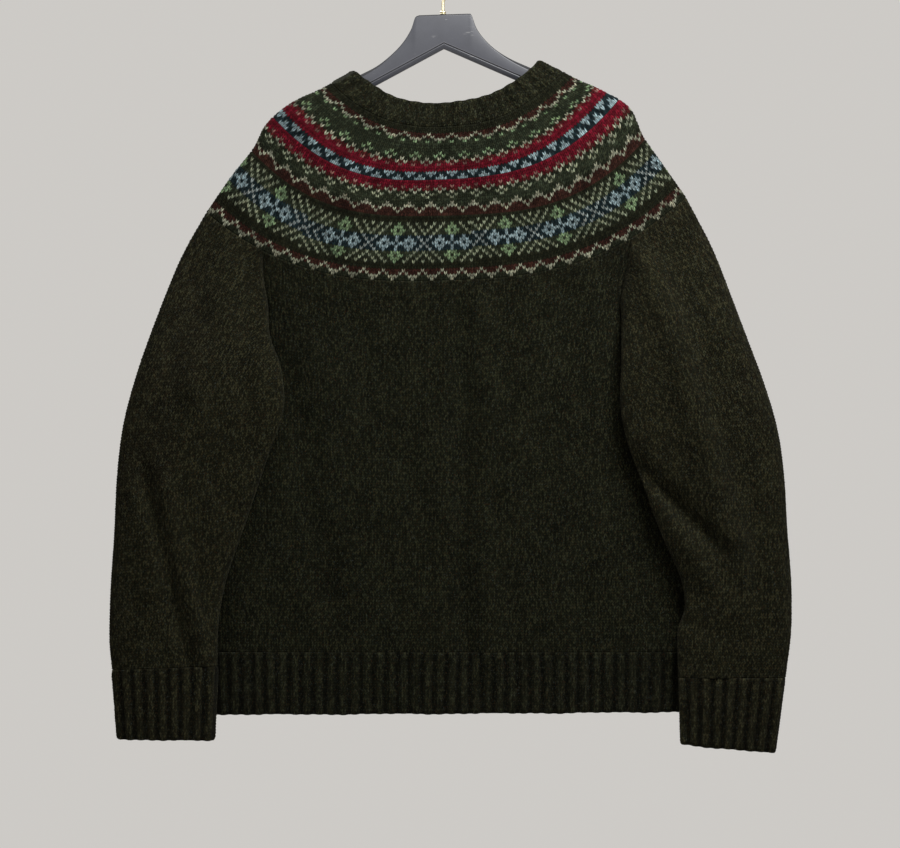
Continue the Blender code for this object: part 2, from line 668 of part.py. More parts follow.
def make_collar():
    """The nut at the foot of the hook, a short round on the bar's flat top."""
    angles = np.arange(COLLAR_SIDES) * 2 * math.pi / COLLAR_SIDES
    foot = HANGER_TOP + SEAT_GAP
    points = [
        (COLLAR_RADIUS * math.cos(a), COLLAR_RADIUS * math.sin(a), z)
        for z in (foot, foot + COLLAR_HEIGHT)
        for a in angles
    ]
    n = COLLAR_SIDES
    faces = [tuple(range(n - 1, -1, -1)), tuple(range(n, 2 * n))]
    faces += [(i, (i + 1) % n, n + (i + 1) % n, n + i) for i in range(n)]
    add_mesh("hook_collar", points, faces, BRASS)


def main():
    for old in list(bpy.data.objects):
        bpy.data.objects.remove(old, do_unlink=True)
    grids = cloth_grids()
    normals = cloth_normals(grids)
    make_plain_cloth(grids, normals)
    make_ribbed_cloth(grids, normals)
    make_hanger()
    make_hook()
    make_collar()


main()
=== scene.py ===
"""The finished look of a fair isle jumper on its hanger.

Each piece of cloth is a wall of knitting, made stitch by stitch over the middle surface of its solid. A
stitch is a V of two raised legs. Rows are counted up each piece and stitches run across it, to the right
for someone who faces the piece from outside.

Axes: +X to the right and +Z up, seen by someone who faces the back of the jumper; -Y points at them. That
side is called near here, and the front of the jumper is the far side. Tables are in millimetres.
"""

import math
from collections import namedtuple

import bpy
import numpy as np
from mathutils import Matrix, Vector


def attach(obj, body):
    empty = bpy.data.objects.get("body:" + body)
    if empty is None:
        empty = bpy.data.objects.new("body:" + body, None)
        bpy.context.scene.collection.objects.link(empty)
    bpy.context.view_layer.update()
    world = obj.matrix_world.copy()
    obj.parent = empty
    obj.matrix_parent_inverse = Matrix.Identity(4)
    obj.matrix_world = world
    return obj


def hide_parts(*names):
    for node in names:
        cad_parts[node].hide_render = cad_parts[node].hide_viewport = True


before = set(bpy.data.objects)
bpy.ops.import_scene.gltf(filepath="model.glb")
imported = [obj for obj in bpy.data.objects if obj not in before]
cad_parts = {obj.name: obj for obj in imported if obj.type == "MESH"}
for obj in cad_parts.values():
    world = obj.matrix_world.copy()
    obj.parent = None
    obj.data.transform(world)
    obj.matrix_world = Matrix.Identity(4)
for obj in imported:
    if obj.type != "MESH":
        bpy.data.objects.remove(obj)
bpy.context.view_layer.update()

bl_info = {
    "name": "Fair Isle Jumper",
    "version": (1, 0, 0),
    "blender": (4, 5, 0),
    "location": "3D View > Sidebar > Jumper",
    "description": "Knits a round-yoked jumper over its frame and hangs it on its hanger",
    "category": "Add Mesh",
}

MM = 0.001
WALL = 2.5
BODY = "root"

# Columns of the middle surfaces
PANEL_COLUMNS = 96
SHOULDER_COLUMNS = 24
SEAM_ROWS = 16
SLEEVE_HALF_COLUMNS = SHOULDER_COLUMNS + SEAM_ROWS
PLACES = 900

BODY_ROUNDNESS = 2.8
BODY_EVEN_SHARE = 0.4
SLEEVE_ROUNDNESS = 2.3
BODY_SHARE = 0.77

Round = namedtuple(
    "Round", "number left_x left_z right_x right_z near_z far_z bow near_y far_y roundness"
)
YOKE = (
    Round(0, -265, -283, 272, -266, -359, -404, 2.8, -15.0, 15.5, 2.6),
    Round(13, -235, -240, 243, -225, -315, -360, 3.2, -15.5, 16.0, 2.8),
    Round(22, -212, -211, 224, -198, -283, -328, 3.1, -16.0, 16.5, 3.2),
    Round(32, -196, -182, 205, -162, -252, -297, 2.9, -16.5, 17.0, 3.8),
    Round(38, -177, -165, 179, -147, -234, -279, 2.7, -17.0, 17.5, 4.2),
    Round(50, -135, -144, 148, -133, -197, -242, 2.5, -17.5, 18.0, 4.2),
    Round(54, -125, -138.5, 134, -125.5, -187, -232, 2.5, -17.5, 18.0, 4.2),
)
NECKBAND = (
    YOKE[-1]._replace(number=0),
    Round(1, -112, -132, 120, -119.5, -174, -219, 2.5, -17.0, 17.5, 4.0),
    Round(2, -99, -124, 106, -113, -160, -205, 2.5, -16.5, 17.0, 3.8),
)
YOKE_ROWS = 54

Level = namedtuple("Level", "left_x left_z right_x right_z near_sag far_sag near_y far_y edge_y")
BODY_LEVELS = (
    Level(-203, -370, 207, -357, 36, 76, -14.5, 15.0, 2.0),
    Level(-200, -392, 204, -379, 33, 66, -14.5, 15.5, 5.0),
    Level(-204, -425, 208, -412, 29, 55, -14.0, 15.5, 6.0),
    Level(-216, -470, 220, -460, 23, 42, -13.5, 15.5, 6.0),
    Level(-231, -530, 236, -522, 16, 28, -13.0, 15.0, 5.0),
    Level(-244, -605, 254, -600, 9, 14, -13.0, 14.5, 3.5),
    Level(-255, -695, 282, -691, 3, 5, -12.5, 14.0, 2.0),
    Level(-256, -776, 269, -776, 0, 0, -12.0, 13.5, 1.5),
)
BODY_STEPS = 100
HEM = (
    BODY_LEVELS[-1],
    Level(-254, -846, 267, -843, 0, 0, -12.5, 13.0, 1.5),
)

Section = namedtuple("Section", "outer_x outer_z inner_x inner_z outer_y inner_y near_y far_y")
LEFT_SLEEVE = (
    Section(-265, -283, -203, -370, 0, 2, -12, 12),
    Section(-293, -334, -198, -389, -2, -3, -19, 6),
    Section(-319, -399, -195, -423, -9, -13, -31, -4),
    Section(-341, -463, -182, -458, -18, -30, -44, -17),
    Section(-356, -521, -179, -505, -23, -37, -46, -21),
    Section(-363, -579, -196, -555, -24, -35, -45, -20),
    Section(-366, -644, -220, -626, -25, -30, -44, -19),
    Section(-370, -707, -243, -693, -26, -29, -43, -18),
    Section(-371, -762, -252, -745, -27, -29, -42, -17),
    Section(-368, -794, -253, -790, -28, -28, -41, -17),
)
LEFT_CUFF = (
    LEFT_SLEEVE[-1],
    Section(-362, -871, -257, -873, -27, -27, -39, -17),
)
RIGHT_SLEEVE = (
    Section(272, -266, 207, -357, 0, 2, -12, 12),
    Section(302, -325, 201, -378, -2, -5, -21, 6),
    Section(323, -380, 201, -413, -9, -17, -35, -5),
    Section(339, -424, 200, -454, -17, -30, -42, -19),
    Section(359, -479, 199, -499, -22, -32, -45, -21),
    Section(373, -529, 207, -540, -24, -32, -46, -21),
    Section(380, -581, 225, -589, -24, -31, -45, -20),
    Section(383, -635, 245, -643, -25, -30, -44, -19),
    Section(387, -686, 266, -690, -26, -29, -43, -18),
    Section(388, -722, 271, -724, -26, -29, -43, -18),
    Section(387, -756, 263, -753, -27, -29, -42, -17),
    Section(381, -803, 264, -803, -28, -28, -41, -17),
)
RIGHT_CUFF = (
    RIGHT_SLEEVE[-1],
    Section(370, -887, 266, -877, -27, -27, -39, -17),
)
SLEEVE_FADE = 3.2
SLEEVE_FOLD_START = 1.3
STEPS_A_SECTION = 12

# Troughs (a negative rise) and ridges along a line: the main folds of the solids, then the small creases
Fold = namedtuple("Fold", "piece side x0 z0 x1 z1 width rise")
FOLDS = (
    Fold("body", "near", 19, -350, 24, -768, 12, -5.6),
    Fold("body", "near", 45, -350, 51, -760, 15, 4.4),
    Fold("body", "near", -8, -380, 2, -740, 22, 1.8),
    Fold("body", "near", -168, -470, -130, -700, 17, -4.4),
    Fold("body", "near", -138, -470, -102, -700, 18, 2.8),
    Fold("body", "near", 148, -340, 146, -640, 17, -3.2),
    Fold("body", "near", 176, -350, 172, -640, 18, 1.8),
    Fold("body", "near", -190, -420, -214, -600, 16, 2.2),
    Fold("body", "far", -40, -440, -46, -760, 26, -3.5),
    Fold("body", "far", 6, -450, -2, -755, 26, 2.5),
    Fold("body", "far", 130, -520, 112, -740, 28, -2.5),
    Fold("left", "near", -232, -344, -274, -462, 19, 6.5),
    Fold("left", "near", -210, -335, -222, -470, 13, -5.5),
    Fold("left", "near", -268, -352, -312, -480, 18, -3.4),
    Fold("left", "near", -328, -594, -287, -768, 9, -6.5),
    Fold("left", "near", -311, -594, -270, -760, 10, 5.0),
    Fold("left", "near", -262, -560, -282, -640, 13, -3.0),
    Fold("left", "far", -316, -560, -300, -700, 24, -3.0),
    Fold("right", "near", 218, -574, 290, -640, 11, -10.0),
    Fold("right", "near", 228, -574, 256, -602, 12, -7.0),
    Fold("right", "near", 236, -612, 288, -684, 12, 6.0),
    Fold("right", "near", 336, -655, 312, -730, 15, 4.2),
    Fold("right", "near", 262, -740, 288, -748, 9, -3.4),
    Fold("right", "near", 236, -352, 314, -632, 16, 8.0),
    Fold("right", "near", 268, -352, 342, -632, 15, -5.0),
    Fold("right", "near", 347, -560, 350, -720, 11, -4.0),
    Fold("right", "far", 300, -520, 318, -660, 24, -3.0),
)
FOLD_FADE = 40.0
WAVES = 16
WAVE_RISE = 0.34
WAVE_WIDTHS = (34.0, 120.0)
WAVE_LENGTHS = (70.0, 320.0)
WAVE_SEEDS = {"near": 3, "far": 4}

# Knitting: rows and stitches of each piece, and how wide a stitch is where it hangs
Wales = namedtuple("Wales", "first_row last_row stitches")
YOKE_BANDS = (
    Wales(0, 21, 324),
    Wales(21, 27, 252),
    Wales(27, 34, 216),
    Wales(34, 39, 234),
    Wales(39, 47, 180),
    Wales(47, 54, 162),
)
BAND_GAP = 0.05
YOKE_CENTRE_X = 10.0
PANEL_ROW_HEIGHT = 3.25
PANEL_STITCHES = 156
PANEL_TOP_STITCH = 3.7
PANEL_TOP_CENTRE_X = 10.0
PANEL_FOOT_CENTRE_X = 6.5
HEM_ROWS = 22
NECK_STITCHES = 144
NECK_ROWS = 9
SLEEVE_ROW_HEIGHT = 3.2
SLEEVE_TOP_STITCH = 3.55
CUFF_STITCHES = 72
CUFF_ROWS = 25
RIB_STITCHES = 4
RIB_FOOT = 1.6
RIB_SIDE = 1.15
RIB_FADE_ROWS = 1.6
SEAM_GAP = 0.01
# How far the stitch map's rows are shifted at a joined line, which keeps the painted shade between rows off
# the seam
SEAM_SHADE = 0.45
SNAP = 0.15
VALLEY = 0.95
LEG_ENDS = (0.28, 0.72)
LEG_SPREAD = 0.12
LEAST_BREADTH = 1e-9
INSIDE_ROW_STEP = 3
INSIDE_STITCH_STEP = 2
INSIDE_LEAST_STEPS = (2, 8)
SEEDS = {"panels": 10, "hems": 20, "neckband": 30, "sleeves": 40, "cuffs": 50}

# What is left of a V's tilt and of a leg's height in the channels between ribs, and of a rib's rise where
# it joins plain knitting
CHANNEL_TILT = 0.35
CHANNEL_HEIGHT = 0.6
RIB_JOINED = 0.12

# A ribbed band's open edge: how far its ribs and channels hang past the last row, its thinness, and its
# wavers, each with its rise, its turns round a cuff and where it starts
ROLLED_ROWS = 0.2
ROLLED_CHANNEL = 0.1
ROLLED_OFFSET = 0.3
EDGE_WAVERS = ((0.14, 2, 1), (0.09, 5, 2))

# Points of a mesh are one where they share a cell of a thousandth of a millimetre. The shift keeps the
# cells' edges off round numbers.
CELL_SHIFT = 0.317

# Yoke chart, from its lower edge up: ground, contrast, and six stitches that repeat, the fourth of them on
# the centre line. The flower band lies between the two parts.
ChartRow = namedtuple("ChartRow", "ground contrast picture")
PLAIN = "......"
CHART_BELOW = (
    ChartRow("moss", "cream", "...#.."),
    ChartRow("moss", "cream", "..###."),
    ChartRow("russet", "cream", ".#...#"),
    ChartRow("russet", "cream", "#....."),
    *(ChartRow("dark", "dark", PLAIN),) * 3,
)
CHART_ABOVE = (
    ChartRow("dark", "dark", PLAIN),
    ChartRow("russet", "russet", PLAIN),
    ChartRow("russet", "cream", "#....."),
    ChartRow("russet", "cream", ".#...#"),
    ChartRow("moss", "cream", "..###."),
    ChartRow("forest", "cream", "...#.."),
    ChartRow("forest", "forest", PLAIN),
    ChartRow("forest", "lichen", "...#.."),
    ChartRow("forest", "lichen", "..#.#."),
    ChartRow("moss", "cream", "#..#.."),
    ChartRow("maroon", "cream", ".#...#"),
    ChartRow("crimson", "rose", "#..#.."),
    *(ChartRow("crimson", "crimson", PLAIN),) * 2,
    ChartRow("navy", "sky", "##...#"),
    ChartRow("navy", "sky", "#..#.."),
    ChartRow("navy", "sky", "..###."),
    *(ChartRow("crimson", "crimson", PLAIN),) * 2,
    ChartRow("crimson", "rose", "#..#.."),
    ChartRow("maroon", "cream", "..#.#."),
    ChartRow("moss", "cream", "#..#.."),
    ChartRow("forest", "mint", ".#...#"),
    ChartRow("forest", "mint", "#....."),
    *(ChartRow("forest", "forest", PLAIN),) * 3,
    ChartRow("forest", "mint", "#..#.."),
    ChartRow("moss", "cream", "##...#"),
    ChartRow("russet", "cream", "..#.#."),
    ChartRow("russet", "cream", "...#.."),
    *(ChartRow("dark", "dark", PLAIN),) * 3,
)
FLOWER_ROW = 13
FLOWER_REACH = 6
FLOWERS = (-162, -144, -126, -96, -78, -60, -36, -18, 0, 18, 36, 60, 78, 96, 126, 144, 162)
FLOWER_WOOLS = (
    (("navy", "sky", "frost"),) * 3
    + (("forest", "mint", "lichen"),) * 2
    + (("moss", "mint", "lichen"),) * 2
)
JOG = (-48, 7)

# Hook: a wire round an arc about a point straight below the origin, on a stem that bends out to meet it
HOOK_WIRE = 3.6
HOOK_RADIUS = 20.0
HOOK_ANGLES = (-48.0, 205.0)
HOOK_ARC_POINTS = 72
HOOK_STEM_TOP = -46.5
HOOK_BEND_POINTS = 18
HOOK_BEND_REACH = 6.0
HOOK_SIDES = 24
HOOK_CAP_POINTS = 6
HOOK_CAP_LENGTH = 0.6
HOOK_TIP_LENGTH = 0.03
SEAT_GAP = 0.3
NUT_PROFILE = (
    (0.0, 0.0), (3.3, 0.0), (3.6, 0.35), (3.6, 1.0), (3.1, 1.35), (2.7, 1.5), (3.15, 1.8), (3.45, 2.4),
    (3.3, 3.1), (2.7, 3.7), (2.2, 4.0), (0.0, 4.0),
)
NUT_SIDES = 40

# Hanger: its bar's upper line from the flat top out to the neckband, and its straight undersides
HangerPoint = namedtuple("HangerPoint", "x z")
HANGER_TOP = -60.0
HANGER_LEFT_LINE = (
    HangerPoint(-27, -61),
    HangerPoint(-31.5, -64),
    HangerPoint(-37, -79),
    HangerPoint(-50, -97.5),
    HangerPoint(-72, -116.5),
    HangerPoint(-97, -129.5),
)
HANGER_RIGHT_LINE = (
    HangerPoint(28, -59.2),
    HangerPoint(32, -61),
    HangerPoint(39, -78),
    HangerPoint(54, -95.5),
    HangerPoint(74, -109),
    HangerPoint(100, -120.5),
)
HANGER_LINE_STEPS = 56
HANGER_LEFT_ROUNDS = (54, 50, 46, 42)
HANGER_RIGHT_ROUNDS = (50, 46, 42)
HANGER_APEX_X = 1.0
HANGER_APEX_Z = -98.5
HANGER_LEFT_FALL = 0.54
HANGER_RIGHT_FALL = 0.435
HANGER_HALF_DEPTH = 6.5
HANGER_FOOT_HALF_DEPTH = 3.0
HANGER_BEVEL = 6.0
HANGER_LIP = 1.3
HANGER_GROOVE = 1.3
HANGER_GROOVE_TOP = 0.3
HANGER_GROOVE_FOOT = -1.2
HANGER_BEVEL_INSET = 0.7
HANGER_OPEN_TOP_HALF_DEPTH = 5.2
HANGER_OPEN_CHAMFER = 1.3
HANGER_CLAD_TOP_HALF_DEPTH = 1.6
HANGER_CLAD_CHAMFER = 4.0
HANGER_OPEN_TO_CLAD = (60.0, 95.0)
HANGER_TIP = 7.0
HANGER_TIP_DROP = 2.5
HANGER_EDGE = 0.7
HANGER_EDGE_POINTS = 4
HANGER_CAP_SIZE = 0.8
HANGER_CAP_LENGTH = 1.0
CLOTH_REST_GAP = 0.8

# Painted shade and highlight down one side of the bar, a number for each corner of its section: dark along
# the upper edge, painted shade in the groove, and a painted highlight on the lip above it. Then the softer
# start of the dark line under the upper edge
HANGER_PAINTED_LINES = (1.0, 0.0, -0.6, 1.0, 0.0, 0.0)
HANGER_PAINTED_LINE_START = (1.0, 0.7)

# Stage, in metres: the round floor, what the camera frames, and the soft square lamps
FLOOR_SIDES = 128
FLOOR_RADIUS = 4.3
SENSOR_WIDTH = 36.0
SEEN_WIDTH = 1.008
CLOTH_Y = -0.015
CAMERA_X = 0.0078
CAMERA_Z = -0.520
Lamp = namedtuple("Lamp", "name power size place aim")
LAMPS = (
    Lamp("key_light", "key", 0.6, (0.50, -0.88, 0.62), (0.0, 0.0, -0.36)),
    Lamp("fill_light", "fill", 1.2, (-1.7, -1.8, 0.10), (0.0, 0.0, -0.45)),
    Lamp("back_light", "back", 1.0, (-0.80, 1.50, 1.05), (0.0, 0.0, -0.40)),
)


# ---------------------------------------------------------------- middle surfaces


def eased(t):
    """From 0 to 1 with level ends: t * t * (3 - 2 t)."""
    return t * t * (3 - 2 * t)


def from_least(least, share):
    """A number that goes from least to 1 as the share goes from 0 to 1."""
    return least + (1 - least) * share


def smooth(table, column, at, positions=None):
    """A column of a table at any places between its rows: cubics, with slopes from the rows next to
    them."""
    values = np.array([getattr(row, column) for row in table], float)
    places = np.arange(len(values), dtype=float) if positions is None else np.asarray(positions, float)
    if len(values) == 2:
        return np.interp(at, places, values)
    slopes = np.gradient(values, places)
    low = np.clip(np.searchsorted(places, at, side="right") - 1, 0, len(values) - 2)
    step = places[low + 1] - places[low]
    t = (at - places[low]) / step
    return (
        (2 * t**3 - 3 * t**2 + 1) * values[low]
        + (t**3 - 2 * t**2 + t) * step * slopes[low]
        + (3 * t**2 - 2 * t**3) * values[low + 1]
        + (t**3 - t**2) * step * slopes[low + 1]
    )


def facts_of(table, at, positions=None):
    """Every column of a table at the given places, as columns of numbers with one row for each place."""
    columns = [name for name in table[0]._fields if name != "number"]
    return {name: smooth(table, name, at, positions)[:, None] for name in columns}


def between_ends(facts, axis, share):
    """The straight line from the left end, at share 0, to the right end, at share 1."""
    return facts["left_" + axis] + (facts["right_" + axis] - facts["left_" + axis]) * share


def bulge(u, roundness):
    """Height of a half section over its chord: (1 - |u| ** roundness) ** (1 / roundness)."""
    return (1 - np.abs(u) ** roundness) ** (1 / roundness)


def across_round():
    """Places across a yoke round: close together by the two outlines, even over the body."""
    edge = (1 - BODY_SHARE) * (np.arange(SHOULDER_COLUMNS) / SHOULDER_COLUMNS) ** 2
    body = np.linspace(-BODY_SHARE, BODY_SHARE, PANEL_COLUMNS + 1)
    return np.concatenate([-1 + edge, body, (1 - edge)[::-1]])


def yoke_halves(table, numbers):
    """Rounds of the yoke or neckband: the near half from left to right, then the far half back. x runs
    evenly with u from outline to outline, z is the line between the outlines plus drop * (1 - |u| **
    bow), and y is the depth times bulge(u)."""
    facts = facts_of(table, numbers, [row.number for row in table])
    middle = (facts["left_z"] + facts["right_z"]) / 2
    halves = []
    for u, side in ((across_round(), "near"), (across_round()[::-1], "far")):
        share = (u + 1) / 2
        x, level = between_ends(facts, "x", share), between_ends(facts, "z", share)
        drop = (facts[side + "_z"] - middle) * (1 - np.abs(u) ** facts["bow"])
        y = facts[side + "_y"] * bulge(u, facts["roundness"])
        half = np.stack([x, y, level + drop], axis=2)
        half[..., 1] += wave_shift(half, side) * bulge(u, 2)
        halves.append(half)
    return halves


def ring(near, far):
    """A tube's whole round from its two halves, which share their ends."""
    return np.concatenate([near, far[:, 1:-1]], axis=1)


def fold_shift(points, piece, side):
    """The folds' push out of the cloth, in Y. Each is rise * exp(-(across / width) ** 2 - (past / fade)
    ** 2), with across the distance from the fold's line and past the distance beyond its ends."""
    outward = -1.0 if side == "near" else 1.0
    shift = np.zeros(points.shape[:-1])
    for fold in FOLDS:
        if (fold.piece, fold.side) != (piece, side):
            continue
        start = np.array([fold.x0, fold.z0], float)
        along = np.array([fold.x1, fold.z1], float) - start
        length = np.hypot(*along)
        offset = points[..., [0, 2]] - start
        run = offset @ along / length
        past = np.maximum(np.maximum(-run, run - length), 0)
        across = offset @ np.array([-along[1], along[0]]) / length
        shift += outward * fold.rise * np.exp(-((across / fold.width) ** 2) - (past / FOLD_FADE) ** 2)
    return shift


def wave_shift(points, side):
    """The cloth's small unevenness, in Y: a sum of plane waves cos(kx x + kz z + phase), longer down the
    cloth than across it, and other waves for each side."""
    rng = np.random.default_rng(WAVE_SEEDS[side])
    across = 2 * math.pi / rng.uniform(*WAVE_WIDTHS, WAVES) * rng.choice((-1, 1), WAVES)
    down = 2 * math.pi / rng.uniform(*WAVE_LENGTHS, WAVES)
    phase = rng.uniform(0, 2 * math.pi, WAVES)
    turn = points[..., 0, None] * across + points[..., 2, None] * down + phase
    return WAVE_RISE * np.cos(turn).sum(axis=-1)


def body_rows(table, levels, side):
    """Levels of a body panel from left to right. With w even from -1 to 1, u = 0.4 w + 0.6 sin(w pi / 2);
    z is the line between the side seams less sag * (1 - u * u), and y = edge + (deep - edge) *
    bulge(u)."""
    w = np.linspace(-1, 1, PANEL_COLUMNS + 1)
    u = BODY_EVEN_SHARE * w + (1 - BODY_EVEN_SHARE) * np.sin(w * math.pi / 2)
    facts = facts_of(table, levels)
    share = (u + 1) / 2
    x = between_ends(facts, "x", share)
    z = between_ends(facts, "z", share) - facts[side + "_sag"] * (1 - u**2)
    y = facts["edge_y"] + (facts[side + "_y"] - facts["edge_y"]) * bulge(u, BODY_ROUNDNESS)
    points = np.stack([x, y, z], axis=2)
    points[..., 1] += (fold_shift(points, "body", side) + wave_shift(points, side)) * bulge(u, 2)
    return points


def panel_grid(yoke_edge, side):
    """A body panel: straight lines from the yoke's edge to the armpits' level, then down to the hem."""
    top = yoke_edge[SHOULDER_COLUMNS : SHOULDER_COLUMNS + PANEL_COLUMNS + 1]
    armpits = body_rows(BODY_LEVELS, np.zeros(1), side)[0]
    t = np.arange(SEAM_ROWS)[:, None, None] / SEAM_ROWS
    lower = body_rows(BODY_LEVELS, np.linspace(0, len(BODY_LEVELS) - 1, BODY_STEPS + 1), side)
    return np.concatenate([top * (1 - t) + armpits * t, lower])


def sleeve_sections(table, steps, outer_is_left):
    """Sections of a sleeve: the near half from left to right and the far half back. u = -cos(pi w), each
    point lies on the chord between the two ends, and y moves from it towards the depth by bulge(u)."""
    u = -np.cos(math.pi * np.linspace(0, 1, SLEEVE_HALF_COLUMNS + 1))
    facts = facts_of(table, steps)
    ends = ("outer", "inner") if outer_is_left else ("inner", "outer")
    left, right = (np.stack([facts[end + axis] for axis in ("_x", "_y", "_z")], axis=2) for end in ends)
    halves = []
    for across, side in ((u, "near"), (u[::-1], "far")):
        points = left + (right - left) * ((across + 1) / 2)[None, :, None]
        points[..., 1] += (facts[side + "_y"] - points[..., 1]) * bulge(across, SLEEVE_ROUNDNESS)
        halves.append(points)
    return halves


def sleeve_grid(table, steps, outer_is_left, rim=None):
    """A sleeve or cuff. The rim joins yoke and body; its shape fades into the plain sections, by 1 -
    eased(t) with t the share of the fade that is past. The folds come in by eased(t), over a shorter
    way."""
    near, far = sleeve_sections(table, steps, outer_is_left)
    if rim is not None:
        piece = "left" if outer_is_left else "right"
        across = np.cos(math.pi * np.linspace(0, 1, SLEEVE_HALF_COLUMNS + 1))
        fade = 1 - eased(np.minimum(steps / SLEEVE_FADE, 1)[:, None])
        start = eased(np.minimum(steps / SLEEVE_FOLD_START, 1)[:, None])
        for half, edge, side in ((near, rim[0], "near"), (far, rim[1], "far")):
            half += fade[..., None] * (edge - half[0])
            folds, waves = fold_shift(half, piece, side), wave_shift(half, side)
            half[..., 1] += start * (folds * bulge(across, 3) + waves * bulge(across, 2))
    return ring(near, far)


def sleeve_rim(edges, panels, outer_is_left):
    """The rim's near and far halves: along the yoke's edge, then down the panel's edge to the armpit."""
    near_yoke, far_yoke = edges
    near_panel, far_panel = panels
    if outer_is_left:
        near = [near_yoke[: SHOULDER_COLUMNS + 1], near_panel[1 : SEAM_ROWS + 1, 0]]
        far = [far_panel[SEAM_ROWS:0:-1, 0], far_yoke[-SHOULDER_COLUMNS - 1 :]]
    else:
        near = [near_panel[SEAM_ROWS:0:-1, -1], near_yoke[-SHOULDER_COLUMNS - 1 :]]
        far = [far_yoke[: SHOULDER_COLUMNS + 1], far_panel[1 : SEAM_ROWS + 1, -1]]
    return np.concatenate(near), np.concatenate(far)


def cloth_grids():
    """The middle surface of every piece of cloth from its top down, and whether it is a closed tube."""
    edges = [half[0] for half in yoke_halves(YOKE, np.zeros(1))]
    panels = (panel_grid(edges[0], "near"), panel_grid(edges[1][::-1], "far"))
    hem_steps = np.linspace(0, 1, HEM_ROWS + 1)
    grids = {
        "yoke": (ring(*yoke_halves(YOKE, np.arange(YOKE_ROWS, -1, -1.0))), True),
        "neckband": (ring(*yoke_halves(NECKBAND, np.linspace(2, 0, NECK_ROWS + 1))), True),
        "back_panel": (panels[0], False),
        "front_panel": (panels[1][:, ::-1], False),
        "hem_rib_back": (body_rows(HEM, hem_steps, "near"), False),
        "hem_rib_front": (body_rows(HEM, hem_steps, "far")[:, ::-1], False),
    }
    for side, table, cuff in (("left", LEFT_SLEEVE, LEFT_CUFF), ("right", RIGHT_SLEEVE, RIGHT_CUFF)):
        is_left = side == "left"
        rim = sleeve_rim(edges, panels, is_left)
        steps = np.linspace(0, len(table) - 1, (len(table) - 1) * STEPS_A_SECTION + 1)
        grids["sleeve_" + side] = (sleeve_grid(table, steps, is_left, rim), True)
        grids["cuff_" + side] = (sleeve_grid(cuff, np.linspace(0, 1, CUFF_ROWS + 1), is_left), True)
    return grids


def wrapped(grid, is_ring):
    """A grid whose last column is its first again, where it is a tube."""
    return np.concatenate([grid, grid[:, :1]], axis=1) if is_ring else grid


def unit(vectors):
    return vectors / np.linalg.norm(vectors, axis=-1, keepdims=True)


def shared_normals(grids):
    """Unit normals: at each point, the sum over all pieces of the cross products of the faces round it."""
    sums, keys = [], []
    for grid, is_ring in grids.values():
        whole = wrapped(grid, is_ring)
        facing = np.cross(whole[1:, 1:] - whole[:-1, :-1], whole[:-1, 1:] - whole[1:, :-1])
        total = np.zeros_like(whole)
        for rows in (slice(None, -1), slice(1, None)):
            for columns in (slice(None, -1), slice(1, None)):
                total[rows, columns] += facing
        if is_ring:
            total[:, 0] += total[:, -1]
            total = total[:, :-1]
        sums.append(total.reshape(-1, 3))
        keys.append(np.round(grid, 2).reshape(-1, 3))
    _, which = np.unique(np.concatenate(keys), axis=0, return_inverse=True)
    which = which.ravel()
    totals = np.zeros((which.max() + 1, 3))
    np.add.at(totals, which, np.concatenate(sums))
    normals, start = {}, 0
    for name, (grid, _) in grids.items():
        end = start + grid.shape[0] * grid.shape[1]
        normals[name] = unit(totals[which[start:end]]).reshape(grid.shape)
        start = end
    level = np.array([0.0, 0.0, 1.0])
    for name in ("back_panel", "front_panel"):
        normals[name][SEAM_ROWS, [0, -1]] = -level
    normals["sleeve_left"][0, SLEEVE_HALF_COLUMNS] = -level
    normals["sleeve_right"][0, 0] = -level
    return normals


Laid = namedtuple("Laid", "points normals length mark is_ring")


def taken_between(grid, at):
    """Values of a grid at float column numbers, one row of numbers for each of its rows."""
    low = np.clip(at.astype(int), 0, grid.shape[1] - 2)
    t = (at - low)[..., None]
    index = np.broadcast_to(low[..., None], low.shape + grid.shape[2:])
    before, after = (np.take_along_axis(grid, index + k, axis=1) for k in (0, 1))
    return before * (1 - t) + after * t


def laid_out(grid, normals, is_ring, rows=None, mark=0):
    """A piece with one line for each knitted row, from its foot up, and its places spread evenly along
    the cloth. rows=None keeps the lines as they are. mark is a column whose distance along each line is
    kept."""
    points, facing = wrapped(grid, is_ring)[::-1], wrapped(normals, is_ring)[::-1]
    if rows is not None:
        climb = np.linalg.norm(np.diff(points, axis=0), axis=2).mean(axis=1)
        climb = np.concatenate([[0], np.cumsum(climb)])
        at = np.interp(np.linspace(0, climb[-1], rows + 1), climb, np.arange(len(climb)))
        low = np.clip(at.astype(int), 0, len(climb) - 2)
        t = (at - low)[:, None, None]
        points = points[low] * (1 - t) + points[low + 1] * t
        facing = facing[low] * (1 - t) + facing[low + 1] * t
    steps = np.linalg.norm(np.diff(points, axis=1), axis=2)
    run = np.concatenate([np.zeros((len(points), 1)), np.cumsum(steps, axis=1)], axis=1)
    even = np.linspace(0, 1, PLACES + 1)
    at = np.stack([np.interp(even * line[-1], line, np.arange(len(line))) for line in run])
    return Laid(taken_between(points, at), taken_between(facing, at), run[:, -1], run[:, mark], is_ring)


def rows_of(grid, height):
    """How many knitted rows of the given height a piece has along its middle."""
    lengths = np.linalg.norm(np.diff(grid, axis=0), axis=2).sum(axis=0)
    return round(lengths.mean() / height)


def arc_at(laid, centre_x, heading):
    """Distance along each line from its start to where it first crosses a place in X."""
    x = laid.points[..., 0] * heading
    goal = centre_x * heading
    high = np.argmax(x >= goal[:, None], axis=1)
    lines = np.arange(len(x))
    before, after = x[lines, high - 1], x[lines, high]
    return (high - 1 + (goal - before) / (after - before)) / PLACES * laid.length


# Stitches of a piece, line by line: distance along the line to stitch 0, width of a stitch, first and last
# stitch numbers that the line reaches
Gauge = namedtuple("Gauge", "start width low high")


